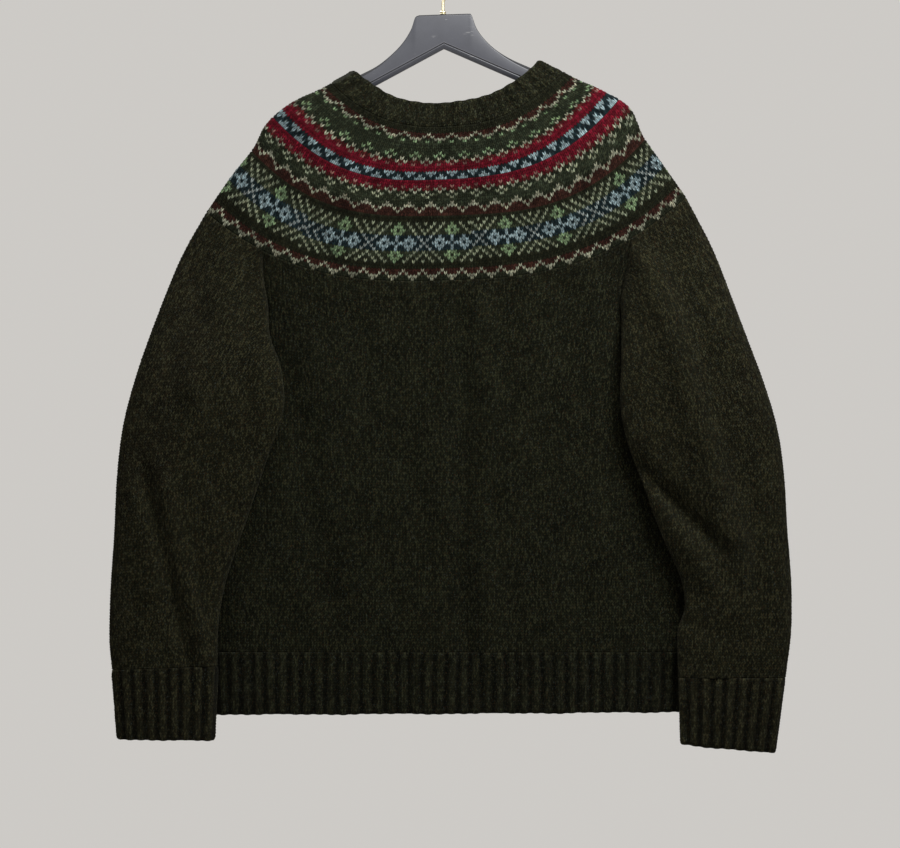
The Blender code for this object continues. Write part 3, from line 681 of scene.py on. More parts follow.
def round_gauge(laid, stitches, start):
    """A whole number of stitches round a tube, the first of them with its middle at start."""
    width = laid.length / stitches
    ones = np.ones_like(width)
    return Gauge(start, width, ones * (-stitches / 2 - 0.5), ones * (stitches / 2 - 0.5))


def panel_gauge(laid, heading):
    """Upright lines of stitches that the side seams cut across, counted from the centre line."""
    t = np.linspace(0, 1, len(laid.length))
    foot_width = laid.length[0] / PANEL_STITCHES
    width = foot_width + (PANEL_TOP_STITCH - foot_width) * t**2
    start = arc_at(laid, PANEL_FOOT_CENTRE_X + (PANEL_TOP_CENTRE_X - PANEL_FOOT_CENTRE_X) * t, heading)
    return Gauge(start, width, -start / width, (laid.length - start) / width)


def sleeve_gauge(laid, outer_is_left):
    """Lines of stitches counted both ways from the outer fold, which the underarm cuts across."""
    t = np.linspace(0, 1, len(laid.length))
    foot_width = laid.length[0] / CUFF_STITCHES
    width = foot_width + (SLEEVE_TOP_STITCH - foot_width) * t
    start = np.zeros_like(t) if outer_is_left else laid.mark
    near = laid.mark
    low, high = (laid.length - near, near) if outer_is_left else (near, laid.length - near)
    return Gauge(start, width, -low / width, high / width)


def band_gauge(laid, stitches):
    """A flat band of a whole number of stitches, the first half a stitch in from its left end."""
    width = laid.length / stitches
    ones = np.ones_like(width)
    return Gauge(width / 2, width, ones * -0.5, ones * (stitches - 0.5))


def at_line(values, row):
    """What a line's value is at float row numbers."""
    return np.interp(row, np.arange(len(values)), values)


def on_cloth(laid, gauge, row, stitch, offset):
    """Points at float row and stitch numbers, offset along the cloth's normal. Each is read between the
    nearest lines and places of the laid out piece."""
    place = (at_line(gauge.start, row) + stitch * at_line(gauge.width, row)) / at_line(laid.length, row)
    place = np.mod(place, 1) if laid.is_ring else np.clip(place, 0, 1)
    x = place * PLACES
    i = np.clip(row.astype(int), 0, len(laid.points) - 2)
    j = np.clip(x.astype(int), 0, PLACES - 1)
    a, b = (row - i)[..., None], (x - j)[..., None]

    def between(field):
        return (1 - a) * ((1 - b) * field[i, j] + b * field[i, j + 1]) + a * (
            (1 - b) * field[i + 1, j] + b * field[i + 1, j + 1]
        )

    return between(laid.points) + unit(between(laid.normals)) * offset[..., None]


# ---------------------------------------------------------------- knitting

# A patch: points, triangles, and for each point its place in the bake map and its stitch and row numbers.
# wool gives each triangle's colour, inside tells the wrong side's triangles from the right side's.
Patch = namedtuple("Patch", "points triangles bake knit wool inside")
Edge = namedtuple("Edge", "points share knit")

OUTSIDE_BOX = (0.03, 0.97, 0.06, 0.74)
INSIDE_BOX = (0.03, 0.97, 0.82, 0.97)
FOOT_RIM_BOX = (0.03, 0.97, 0.02, 0.045)
TOP_RIM_BOX = (0.03, 0.97, 0.76, 0.785)
LEFT_RIM_BOX = (0.002, 0.018, 0.06, 0.74)
RIGHT_RIM_BOX = (0.982, 0.998, 0.06, 0.74)


def in_box(box, u, v):
    """Places in the bake map: shares across and up of a box of it."""
    left, right, foot, top = box
    return np.stack([left + (right - left) * u, foot + (top - foot) * v], axis=-1)


def cell_corners(corner):
    """The four corners of each cell of a grid of point numbers, turning left from the foot's left one."""
    return corner[:-1, :-1], corner[:-1, 1:], corner[1:, 1:], corner[1:, :-1]


def triangle_rows(parts):
    """Triangles, one to a row, from sets of three arrays of point numbers."""
    return np.concatenate([np.stack([k.ravel() for k in part], axis=1) for part in parts])


def rib_rise(stitch, ribs_first):
    """Rise of a 2 and 2 rib: up to 1 over two stitches and down to 0 over the next two, with rounded
    sides."""
    off = np.abs(np.mod(stitch - ribs_first + 0.5, RIB_STITCHES) - RIB_STITCHES / 2)
    return eased(np.clip((RIB_FOOT - off) / RIB_SIDE, 0, 1))


def band_edge(stitch, ribs_first):
    """How far a ribbed band's open edge hangs past its last row, in rows: each rib ends a little further
    out than the channels beside it, and the edge wavers."""
    turn = stitch * (2 * math.pi / CUFF_STITCHES)
    waver = sum(rise * np.sin(turns * turn + start * ribs_first) for rise, turns, start in EDGE_WAVERS)
    return ROLLED_ROWS * from_least(ROLLED_CHANNEL, rib_rise(stitch, ribs_first)) + waver


def row_share(laid, row):
    """How far up a piece a row number is, from 0 to 1."""
    return np.clip(row / (len(laid.points) - 1), 0, 1)


def stitch_share(gauge, row, stitch):
    """How far across its line a stitch number is, from 0 to 1."""
    low, high = at_line(gauge.low, row), at_line(gauge.high, row)
    return np.clip((stitch - low) / (high - low), 0, 1)


def patch_edges(points, share, height, knit, corner, left, right):
    """A patch's edges. Foot and top are the first and last rows of its corners, and the numbers of the
    points on its left and right are given."""
    picks = {
        "foot": (corner[0], share), "top": (corner[-1], share),
        "left": (left, height), "right": (right, height),
    }
    return {side: Edge(points[at], along[at], knit[at]) for side, (at, along) in picks.items()}


def half_stitches(gauge, lines):
    """Half stitches of each line, with those beyond a side drawn onto it: their numbers, their places, the
    line's two sides, and how far within them each half stitch was, from 0 to 1 half a stitch in."""
    low, high = at_line(gauge.low, lines)[:, None], at_line(gauge.high, lines)[:, None]
    halves = np.arange(math.floor(2 * low.min()), math.ceil(2 * high.max()) + 1)
    stitch = np.broadcast_to(halves / 2.0, (len(lines), len(halves)))
    reach = np.clip(2 * np.minimum(stitch - low, high - stitch), 0, 1)
    stitch = np.clip(stitch, low, high)
    stitch = np.where(stitch - low < SNAP, low, np.where(high - stitch < SNAP, high, stitch))
    return halves, stitch, low, high, reach


def leg_parts(corner, plump):
    """Triangles of each leg, as sets of three arrays: from its four corners to the one top of a cushion,
    or to the two of a hipped ridge. The tops' numbers follow the corners'."""
    a, b, c, d = cell_corners(corner)
    e = corner.size + np.arange(a.size).reshape(a.shape)
    f = e + a.size
    if plump:
        return [(a, b, e), (b, f, e), (b, c, f), (c, d, f), (d, e, f), (d, a, e)]
    return [(a, b, e), (b, c, e), (c, d, e), (d, a, e)]


def knitted(
    laid, gauge, lines, knit, plump=True, ribs=None, rolled=(False, False), seam_shade=SEAM_SHADE, seed=0
):
    """The right side. Line k of the lattice bends down by the zigzag at stitch centres and up between
    stitches; each leg between two of its half stitches is a raised cushion with one top, or a hipped ridge
    with two (plump). Gives the patch, its edges, and each triangle's row and stitch number."""
    rng = np.random.default_rng(seed)
    halves, stitch, low, high, reach = half_stitches(gauge, lines)
    free = (stitch > low) & (stitch < high)
    tilt = np.where(halves % 2 == 0, -knit["zigzag"], knit["zigzag"]) * reach * free
    row = np.broadcast_to(lines[:, None], stitch.shape).copy()
    offset = np.full(stitch.shape, VALLEY)
    uneven = rng.normal(0, knit["uneven"], (2,) + stitch.shape) * free
    if ribs is not None:
        rise = rib_rise(stitch, ribs)
        joined = lines[:, None] if rolled[1] else lines[-1] - lines[:, None]
        tilt = tilt * from_least(CHANNEL_TILT, rise)
        rise = rise * from_least(RIB_JOINED, eased(np.clip(joined / RIB_FADE_ROWS, 0, 1)))
        offset = offset + knit["rib_rise"] * rise
    row[1:-1] += tilt[1:-1] + uneven[0, 1:-1]
    stitch = stitch + uneven[1] * (reach == 1)
    for line, is_rolled, way in ((0, rolled[0], -1), (-1, rolled[1], 1)):
        if is_rolled:
            row[line] += way * band_edge(stitch[line], ribs)
            offset[line] = offset[line] * ROLLED_OFFSET

    breadth = (stitch[:-1, 1:] - stitch[:-1, :-1]) + (stitch[1:, 1:] - stitch[1:, :-1])
    keep = breadth > LEAST_BREADTH
    height = knit["relief"] * np.clip(breadth, 0, 1) * (1 + rng.normal(0, LEG_SPREAD, breadth.shape))
    if ribs is not None:
        middle = (stitch[:-1, :-1] + stitch[:-1, 1:]) / 2
        height = height * from_least(CHANNEL_HEIGHT, rib_rise(middle, ribs))

    def leg_top(t):
        def mixed(values):
            foot = (values[:-1, :-1] + values[:-1, 1:]) / 2
            head = (values[1:, :-1] + values[1:, 1:]) / 2
            return foot * (1 - t) + head * t

        return mixed(row), mixed(stitch), mixed(offset) + height

    tops = [leg_top(t) for t in (LEG_ENDS if plump else (0.5,))]
    rows, across, offsets = (
        np.concatenate([values.ravel()] + [top[k].ravel() for top in tops])
        for k, values in enumerate((row, stitch, offset))
    )
    corner = np.arange(stitch.size).reshape(stitch.shape)
    parts = [[k[keep] for k in part] for part in leg_parts(corner, plump)]
    number = np.broadcast_to((halves[:-1] + 1) // 2, keep.shape)[keep]
    line = np.broadcast_to(np.arange(len(lines) - 1)[:, None], keep.shape)[keep]

    points = on_cloth(laid, gauge, rows, across, offsets)
    share, height_share = stitch_share(gauge, rows, across), row_share(laid, rows)
    # Rows of the stitch map, shifted at joined lines so that the painted shade between rows is not drawn
    # along a seam
    shade_rows = rows.copy()
    shade_rows[corner[0]] += 0.0 if rolled[0] else seam_shade
    shade_rows[corner[-1]] -= 0.0 if rolled[1] else seam_shade
    knit_map = np.stack([across, shade_rows], axis=-1)
    bake = in_box(OUTSIDE_BOX, share, height_share)
    patch = Patch(points, triangle_rows(parts), bake, knit_map, None, False)
    ends = (np.argmax(stitch > low, axis=1) - 1, len(halves) - np.argmax(stitch[:, ::-1] < high, axis=1))
    left, right = (corner[np.arange(len(lines)), np.clip(end, 0, len(halves) - 1)] for end in ends)
    edges = patch_edges(points, share, height_share, knit_map, corner, left, right)
    return patch, edges, (np.tile(line, len(parts)), np.tile(number, len(parts)))


def wrong_side(laid, gauge, lines):
    """The wrong side: a plain grid half a wall inside the middle surface, even between the two sides."""
    first, last = lines[0], lines[-1]
    up = max(INSIDE_LEAST_STEPS[0], round((last - first) / INSIDE_ROW_STEP))
    across = max(INSIDE_LEAST_STEPS[1], round((gauge.high - gauge.low).max() / INSIDE_STITCH_STEP))
    row, share = np.linspace(first, last, up + 1), np.linspace(0, 1, across + 1)
    low, high = at_line(gauge.low, row)[:, None], at_line(gauge.high, row)[:, None]
    stitch = low + (high - low) * share
    row, share = np.broadcast_to(row[:, None], stitch.shape), np.broadcast_to(share, stitch.shape)
    points = on_cloth(laid, gauge, row, stitch, np.full(stitch.shape, -WALL / 2))
    if laid.is_ring:
        points[:, -1] = points[:, 0]
    corner = np.arange(stitch.size).reshape(stitch.shape)
    a, b, c, d = cell_corners(corner)
    points, knit_map = points.reshape(-1, 3), np.stack([stitch.ravel(), row.ravel()], axis=-1)
    share, height = share.ravel(), row_share(laid, row).ravel()
    bake = in_box(INSIDE_BOX, share, height)
    patch = Patch(points, triangle_rows([(a, c, b), (a, d, c)]), bake, knit_map, None, True)
    return patch, patch_edges(points, share, height, knit_map, corner, corner[:, 0], corner[:, -1])


def zipped(first, second, box, is_upright, is_flipped):
    """A strip of triangles between two edges that run the same way. The edges of both are sorted by their
    middles, and each one joins the point of the other edge that is reached by then."""
    p, q = first.share, second.share
    p_middle, q_middle = (p[1:] + p[:-1]) / 2, (q[1:] + q[:-1]) / 2
    p_edge, q_edge = np.arange(len(p) - 1), len(p) + np.arange(len(q) - 1)
    q_at = len(p) + np.searchsorted(q_middle, p_middle, side="left")
    p_at = np.searchsorted(p_middle, q_middle, side="right")
    triangles = triangle_rows([(p_edge, p_edge + 1, q_at), (q_edge + 1, q_edge, p_at)])
    if is_flipped:
        triangles = triangles[:, ::-1]
    across, along = np.concatenate([np.zeros(len(p)), np.ones(len(q))]), np.concatenate([p, q])
    bake = in_box(box, across, along) if is_upright else in_box(box, along, across)
    points = np.concatenate([first.points, second.points])
    knit_map = np.concatenate([first.knit, second.knit])
    return Patch(points, triangles, bake, knit_map, None, False)


def band_strip(laid, below, above):
    """The strip between two bands of the yoke. In the bake map it lies between them too."""
    strip = zipped(below, above, OUTSIDE_BOX, False, False)
    across = np.concatenate([below.share, above.share])
    return strip._replace(bake=in_box(OUTSIDE_BOX, across, row_share(laid, strip.knit[:, 1])))


def rims(outer, inner, open_sides):
    """The strips that close a wall: along its foot and top, and along its sides where they are open."""
    strips = [
        zipped(outer["foot"], inner["foot"], FOOT_RIM_BOX, False, True),
        zipped(outer["top"], inner["top"], TOP_RIM_BOX, False, False),
    ]
    if open_sides:
        strips.append(zipped(outer["left"], inner["left"], LEFT_RIM_BOX, True, False))
        strips.append(zipped(outer["right"], inner["right"], RIGHT_RIM_BOX, True, True))
    return strips


def add_object(name, data):
    """An object in the scene."""
    made = bpy.data.objects.new(name, data)
    bpy.context.scene.collection.objects.link(made)
    return made


def add_mesh(name, points, triangles, materials):
    """A smooth shaded piece, from points in millimetres. It rides on the one body."""
    mesh = bpy.data.meshes.new(name)
    mesh.from_pydata((points * MM).tolist(), [], triangles.tolist())
    mesh.shade_smooth()
    for material in materials:
        mesh.materials.append(material)
    piece = add_object(name, mesh)
    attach(piece, BODY)
    return piece


def add_knitting(name, patches, materials):
    """One closed mesh of all patches: points that coincide are made one, and triangles that this closes up
    are left out. Keeps the bake map, the stitch map and, where a patch has it, the wool's colour."""
    points = np.concatenate([patch.points for patch in patches])
    starts = np.cumsum([0] + [len(patch.points) for patch in patches[:-1]])
    triangles = np.concatenate([patch.triangles + start for patch, start in zip(patches, starts)])
    inside = np.concatenate([np.full(len(patch.triangles), patch.inside) for patch in patches])
    cells = np.floor(points / MM + CELL_SHIFT).astype(np.int64)
    _, kept, which = np.unique(cells, axis=0, return_index=True, return_inverse=True)
    corners = which.ravel()[triangles]
    sound = (corners != np.roll(corners, -1, axis=1)).all(axis=1)
    used, compact = np.unique(corners[sound], return_inverse=True)
    piece = add_mesh(name, points[kept][used], compact.reshape(-1, 3), materials)
    mesh = piece.data
    ways = triangles[sound].ravel()
    for layer, field in (("OFBake", "bake"), ("stitches", "knit")):
        values = np.concatenate([getattr(patch, field) for patch in patches])[ways]
        mesh.uv_layers.new(name=layer).data.foreach_set("uv", values.astype(np.float32).ravel())
    if patches[0].wool is not None:
        wool = np.concatenate([patch.wool for patch in patches])[sound]
        colour = np.concatenate([np.repeat(wool, 3, axis=0), np.ones((len(wool) * 3, 1))], axis=1)
        layer = mesh.color_attributes.new("wool", "FLOAT_COLOR", "CORNER")
        layer.data.foreach_set("color", colour.astype(np.float32).ravel())
    if len(materials) > 1:
        mesh.polygons.foreach_set("material_index", inside[sound].astype(np.int32))
    return piece


def stitch_lines(laid):
    """The lines of a whole piece, drawn in a little at its foot and at its top."""
    lines = np.arange(len(laid.points), dtype=float)
    lines[[0, -1]] += (SEAM_GAP, -SEAM_GAP)
    return lines


def knit_piece(name, laid, gauge, materials, open_sides, **style):
    """One piece of one gauge: right side, wrong side and rims."""
    lines = stitch_lines(laid)
    patch, outer, _ = knitted(laid, gauge, lines, knit_settings(), **style)
    back, inner = wrong_side(laid, gauge, lines)
    return add_knitting(name, [patch, back, *rims(outer, inner, open_sides)], materials)


def flower_band(offset, stitch):
    """Which stitches of a row in the flower band are petals and which are dots. A flower is a diamond of
    |dx| + |dy| <= 2 at each of four points four stitches from its middle, with a hole in each, and a short
    cross between them. Between two flowers, dots lie where |dx| <= |dy|, every third along a diagonal, and
    where the flowers are further apart, further out too."""
    centres = np.array(FLOWERS)
    nearest = centres[np.argmin(np.abs(stitch[:, None] - centres), axis=1)]
    dx, dy = stitch - nearest, offset
    lit = np.zeros(stitch.shape, bool)
    for px, py in ((4, 0), (-4, 0), (0, 4), (0, -4)):
        away = np.abs(dx - px) + abs(dy - py)
        lit |= (away <= 2) & (away > 0)
    lit |= (np.abs(dx) + abs(dy)) == 1
    lit &= (np.abs(dx) + abs(dy)) > 0
    right = np.clip(np.searchsorted(centres, stitch, side="right"), 1, len(centres) - 1)
    middle = (centres[right] + centres[right - 1]) / 2
    spacing = centres[right] - centres[right - 1]
    reach, spread = spacing / 2 - 3, spacing / 2 - 9
    away = np.abs(stitch - middle)
    dots = (away <= abs(offset) + spread) & (away <= reach) & (np.mod(abs(offset) - away, 3) == 0)
    return lit, dots & ~lit


def row_colours(number, offset, across, wools):
    """The wools of one row, with offset its place in the flower band."""
    if abs(offset) <= FLOWER_REACH:
        ground, petal, dot = (wools[name] for name in FLOWER_WOOLS[abs(offset)])
        petals, dots = flower_band(offset, across)
        return np.where(petals[:, None], petal, np.where(dots[:, None], dot, ground))
    above = number - FLOWER_ROW - FLOWER_REACH - 1
    chart = CHART_BELOW[number] if number < FLOWER_ROW else CHART_ABOVE[max(above, 0)]
    picture = np.array([mark == "#" for mark in chart.picture])
    lit = picture[np.mod(across + 3, len(picture))]
    return np.where(lit[:, None], wools[chart.contrast], wools[chart.ground])


def chart_colours(row, stitch, wools):
    """The wool of each stitch in the yoke, from its row number and its number from the centre line. Where
    the rounds begin the flower band steps down by one row, and steps back up behind the left shoulder."""
    colour = np.zeros((len(row), 3))
    for number in range(YOKE_ROWS):
        for lowered in (0, 1):
            chosen = (row == number) & (((stitch >= JOG[0]) & (stitch < JOG[1])) == bool(lowered))
            colour[chosen] = row_colours(number, number - FLOWER_ROW + lowered, stitch[chosen], wools)
    return colour


def ground_colours(row, wools):
    """The ground wool at each row number."""
    grounds = [wools[chart.ground] for chart in CHART_BELOW]
    grounds += [wools[FLOWER_WOOLS[abs(k)][0]] for k in range(-FLOWER_REACH, FLOWER_REACH + 1)]
    grounds += [wools[chart.ground] for chart in CHART_ABOVE]
    return np.array(grounds)[np.clip(row.astype(int), 0, YOKE_ROWS - 1)]


# ---------------------------------------------------------------- shades


class Shade:
    """A socket that carries a number, so that a pattern is written as plain arithmetic."""

    def __init__(self, recipe, socket):
        self.recipe = recipe
        self.socket = socket

    def math(self, operation, *others):
        values = dict(enumerate((self, *others)))
        made = self.recipe.node("ShaderNodeMath", {"operation": operation}, values)
        return Shade(self.recipe, made.outputs[0])

    def __add__(self, other):
        return self.math("ADD", other)

    __radd__ = __add__

    def __mul__(self, other):
        return self.math("MULTIPLY", other)

    __rmul__ = __mul__

    def __sub__(self, other):
        return self.math("SUBTRACT", other)

    def __rsub__(self, other):
        return self * -1.0 + other

    def held(self):
        """Kept between 0 and 1."""
        return self.math("MAXIMUM", 0.0).math("MINIMUM", 1.0)

    def size(self):
        return self.math("ABSOLUTE")

    def part(self):
        return self.math("FRACT")

    def sine(self):
        return self.math("SINE")


class Recipe:
    """A material and the one way to add a node to it."""

    def __init__(self, name):
        self.material = bpy.data.materials.new(name)
        self.material.use_nodes = True
        self.tree = self.material.node_tree
        self.shader = self.tree.nodes["Principled BSDF"]

    def node(self, kind, settings=None, values=None):
        """Add a node: its settings first, then the values or links of its sockets."""
        made = self.tree.nodes.new(kind)
        for key, value in (settings or {}).items():
            setattr(made, key, value)
        self.fill(made, values or {})
        return made

    def fill(self, node, values):
        for key, value in values.items():
            source = value.socket if isinstance(value, Shade) else value
            if isinstance(source, bpy.types.NodeSocket):
                self.tree.links.new(source, node.inputs[key])
            else:
                node.inputs[key].default_value = source

    def mixed(self, factor, first, second):
        """A colour between two: factor 0 gives the first."""
        made = self.node("ShaderNodeMix", {"data_type": "RGBA"}, {0: factor, 6: first, 7: second})
        return made.outputs[2]

    def shaded(self, colour, level):
        """A colour times a number."""
        parts = colour if isinstance(colour, bpy.types.NodeSocket) else colour[:3]
        made = self.node("ShaderNodeVectorMath", {"operation": "SCALE"}, {0: parts, 3: level})
        return made.outputs[0]

    def tinted(self, colour, tint):
        """A colour times another, part by part."""
        made = self.node("ShaderNodeVectorMath", {"operation": "MULTIPLY"}, {0: colour, 1: tint})
        return made.outputs[0]

    def own_shade(self, x, y):
        """A number between 0 and 1 of its own for each unit square of two patterns."""
        floors = {0: x.math("FLOOR"), 1: y.math("FLOOR")}
        corner = self.node("ShaderNodeCombineXYZ", values=floors).outputs[0]
        made = self.node("ShaderNodeTexWhiteNoise", {"noise_dimensions": "2D"}, {"Vector": corner})
        return Shade(self, made.outputs[0])

    def moved(self, where, scale=(1.0, 1.0, 1.0), by=(0.0, 0.0, 0.0)):
        """Places that are scaled and then moved."""
        made = self.node("ShaderNodeMapping", values={"Vector": where, "Scale": scale, "Location": by})
        return made.outputs[0]

    def millimetres(self):
        """Where the surface is, in millimetres."""
        where = self.node("ShaderNodeTexCoord").outputs["Object"]
        return self.moved(where, (1 / MM,) * 3)

    def noise(self, where, scale, detail, roughness=0.5):
        """Soft noise, most of it between 0.3 and 0.7."""
        made = self.node(
            "ShaderNodeTexNoise", {"noise_dimensions": "3D"},
            {"Vector": where, "Scale": scale, "Detail": detail, "Roughness": roughness},
        )
        return Shade(self, made.outputs[0])

    def bump(self, height, strength, distance):
        """Fine relief, with its distance in metres."""
        values = {"Strength": strength, "Distance": distance, "Height": height}
        self.fill(self.shader, {"Normal": self.node("ShaderNodeBump", values=values).outputs[0]})


# Flecks: the wool, how fine they are, how rare, and where their pattern lies. Then how sharp they all are.
FLECKS = (("rust", 0.80, 0.670, 11.0), ("straw", 0.92, 0.690, 37.0), ("ash", 0.86, 0.672, 71.0))
FLECK_EDGE = 18.0

# Patterns in the yarn: how many to a millimetre, detail and roughness. Then what each adds to the
# brightness, and the colour that warm patches lean to and where they begin.
Grain = namedtuple("Grain", "scale detail roughness")
FIBRE, FIBRE_LIGHT = Grain(1.9, 3.0, 0.65), 0.50
CLOUD, CLOUD_LIGHT = Grain(0.045, 3.0, 0.6), 0.8
SPECK, SPECK_LIGHT = Grain(0.62, 1.0, 0.5), 0.85
WARMTH, WARM_TINT, WARM_FROM = Grain(0.30, 2.0, 0.7), (1.35, 0.95, 0.70), 0.42
LEAST_LIGHT = 0.03

# The two kinds of right side. least and own: the brightness of a leg, and what its own shade adds; leg and
# seam: how steeply it rises out of the painted shade at the leg's sides and at its ends; gap: how much of
# it is left in the gaps round each leg, which are painted in shade; warmth and fleck: how much of these
# shows.
Look = namedtuple("Look", "least own leg seam gap warmth fleck")
CHARTED_LOOK = Look(0.32, 0.78, 1.9, 3.0, 0.10, 1.2, 0.30)
PLAIN_LOOK = Look(0.24, 1.5, 2.3, 2.1, 0.14, 1.8, 0.75)

# Whole numbers of stitches and rows that keep both patterns above zero
STITCHES_ON = 1000.0
ROWS_ON = 100.0

SHEEN_TINT = (0.70, 0.72, 0.60, 1.0)
SCUFF_TONE = (0.42, 0.41, 0.39, 1.0)
# Tones of the bar: dark on its upper edges and as painted shade in its groove, and a painted highlight on
# its lip
DARK_EDGE_AND_GROOVE_SHADE_TONE = (0.004, 0.004, 0.005, 1.0)
PAINTED_HIGHLIGHT_TONE = (0.30, 0.30, 0.33, 1.0)

# Ribs: their first stitch, how much light is left in the channels between them, which are painted in shade,
# and how light the whole band is
Ribs = namedtuple("Ribs", "first channel lift")
NECK_RIBS = Ribs(0, 0.78, 1.36)
HEM_RIBS = Ribs(1, 0.28, 1.20)
CUFF_RIBS = Ribs(0, 0.22, 1.27)


def wool_material(name, colour, is_inside, ribs=None):
    """Woollen yarn, of one colour or, with None, of the colours that the mesh carries. Each leg of a stitch
    has a shade of its own, fibres mottle it, and flecks of other wool are spun in. The gaps round each leg
    and the channels between ribs are painted in shade. Fine slanting ridges are the yarn's twist. On the
    wrong side the stitches show as rows of short bars, with painted shade between them."""
    wools, zigzag = bpy.context.scene.jumper_wools, bpy.context.scene.jumper_knit.zigzag
    recipe = Recipe(name)
    where = recipe.millimetres()
    if colour is None:
        look = CHARTED_LOOK
        base = recipe.node("ShaderNodeAttribute", {"attribute_name": "wool"}).outputs["Color"]
    else:
        look = PLAIN_LOOK
        base = (*colour, 1.0)
    stitches = recipe.node("ShaderNodeUVMap", {"uv_map": "stitches"}).outputs[0]
    apart = recipe.node("ShaderNodeSeparateXYZ", values={0: stitches})
    across, up = Shade(recipe, apart.outputs[0]), Shade(recipe, apart.outputs[1])
    from_middle = ((across + (STITCHES_ON + 0.5)).part() - 0.5).size()
    row = up + ROWS_ON - (from_middle * 4.0 - 1.0) * zigzag
    fibre, cloud = recipe.noise(where, *FIBRE), recipe.noise(where, *CLOUD)
    own = recipe.own_shade(across * 2.0 + STITCHES_ON, row)
    speck = recipe.noise(where, *SPECK)
    level = look.least + fibre * FIBRE_LIGHT + (cloud - 0.5) * CLOUD_LIGHT
    level = level + (speck - 0.5) * SPECK_LIGHT + own * own * own * look.own
    level = level.math("MAXIMUM", LEAST_LIGHT)
    if is_inside:
        # Painted shade between the wrong side's bars; the bump raises the same bars
        bars = (up * math.pi).sine().size() * 0.6 + ((across + up * 0.5) * (2 * math.pi)).sine() * 0.4
        level = level * (0.62 + bars * 0.30)
    else:
        # Painted shade: each leg darkens towards its sides and its ends, into the gaps round it
        leg = ((1 - (from_middle - 0.25).size() * 4) * look.leg).held()
        seam = ((1 - (row.part() - 0.5).size() * 2) * look.seam).held()
        level = level * (look.gap + leg * seam * (1 - look.gap))
    # Painted shade in the channels between ribs
    if ribs is not None:
        turn = (across - (ribs.first - 0.5)) * (1 / RIB_STITCHES) + ROWS_ON
        off = (turn.part() * RIB_STITCHES - RIB_STITCHES / 2).size()
        rib = ((RIB_FOOT - off) * (1 / RIB_SIDE)).held()
        level = level * ((ribs.channel + rib * (1.0 - ribs.channel)) * ribs.lift)
    tone = recipe.shaded(base, level)
    warmth = (recipe.noise(where, *WARMTH) - WARM_FROM).held() * look.warmth
    tone = recipe.mixed(warmth.held(), tone, recipe.tinted(tone, WARM_TINT))
    for fleck, scale, threshold, shift in FLECKS:
        there = recipe.moved(where, by=(shift, -shift, shift))
        amount = ((recipe.noise(there, scale, 1.0) - threshold) * FLECK_EDGE).held()
        tone = recipe.mixed(amount * look.fleck, tone, (*getattr(wools, fleck), 1.0))
    if is_inside:
        recipe.bump(bars * 0.8 + fibre * 0.4, 0.7, 0.0009)
    else:
        twist = ((up * 3.0 + from_middle * 5.0) * (2 * math.pi)).sine()
        recipe.bump(fibre + twist * 0.22, 0.75, 0.00045)
    recipe.fill(
        recipe.shader,
        {"Base Color": tone, "Roughness": 0.9, "Sheen Weight": wools.nap, "Sheen Roughness": 0.5,
         "Sheen Tint": SHEEN_TINT, "Specular IOR Level": 0.02},
    )
    return recipe.material


def plain_wools(lot, band="right_side", ribs=None):
    """The materials of one lot of the plain wool for the right side and the wrong side, each made once."""
    colour = getattr(bpy.context.scene.jumper_wools, lot)
    sides = ((f"{lot}_wool_{band}", False, ribs), (f"{lot}_wool_wrong_side", True, None))
    return [bpy.data.materials.get(side[0]) or wool_material(side[0], colour, *side[1:]) for side in sides]


def plastic_material():
    """Satin moulded plastic: a fine even grain, faint cloudiness and a few pale scuffs. Along the upper
    edges it is dark and matt, the groove carries painted shade, dark and matt, and the lip above it a
    painted highlight."""
    finish = bpy.context.scene.jumper_hanger
    recipe = Recipe("satin_plastic")
    where = recipe.millimetres()
    grain, cloud = recipe.noise(where, 3.2, 2.0), recipe.noise(where, 0.07, 2.0)
    stretched = recipe.moved(where, (0.12, 1.0, 0.9))
    scuff = ((recipe.noise(stretched, 0.42, 3.0) - 0.675) * 14.0).held()
    lines = Shade(recipe, recipe.node("ShaderNodeAttribute", {"attribute_name": "lines"}).outputs["Fac"])
    dark, pale = lines.held(), (lines * -1.0).held()
    tone = recipe.shaded((*finish.plastic, 1.0), 0.85 + cloud * 0.3)
    tone = recipe.mixed(scuff * 0.25, tone, SCUFF_TONE)
    # Dark along the upper edges with painted shade in the groove, then a painted highlight on the lip
    tone = recipe.mixed(dark * 0.88, tone, DARK_EDGE_AND_GROOVE_SHADE_TONE)
    tone = recipe.mixed(pale * 0.35, tone, PAINTED_HIGHLIGHT_TONE)
    rough = 0.40 + grain * 0.10 + scuff * 0.2 + dark * 0.45
    recipe.fill(recipe.shader, {"Base Color": tone, "Roughness": rough, "Specular IOR Level": 0.45})
    recipe.bump(grain, 0.25, 0.00006)
    return recipe.material


def brass_material():
    """Polished brass wire with faint draw lines and duller patches."""
    finish = bpy.context.scene.jumper_hanger
    recipe = Recipe("brass_wire")
    where = recipe.millimetres()
    patch = recipe.noise(where, 0.35, 3.0)
    drawn = recipe.noise(recipe.moved(where, (6.0, 6.0, 0.5)), 1.0, 2.0)
    tone = recipe.mixed((patch - 0.35).held(), (*finish.brass, 1.0), (*finish.brass_dull, 1.0))
    recipe.fill(recipe.shader, {"Base Color": tone, "Metallic": 1.0, "Roughness": 0.18 + patch * 0.22})
    recipe.bump(drawn, 0.2, 0.00003)
    return recipe.material


# ---------------------------------------------------------------- hanger


def hanger_line(table):
    """The bar's upper line in the open: a smooth curve through the table's points."""
    at = np.linspace(0, len(table) - 1, HANGER_LINE_STEPS + 1)
    return np.stack([smooth(table, "x", at), smooth(table, "z", at)], axis=1)


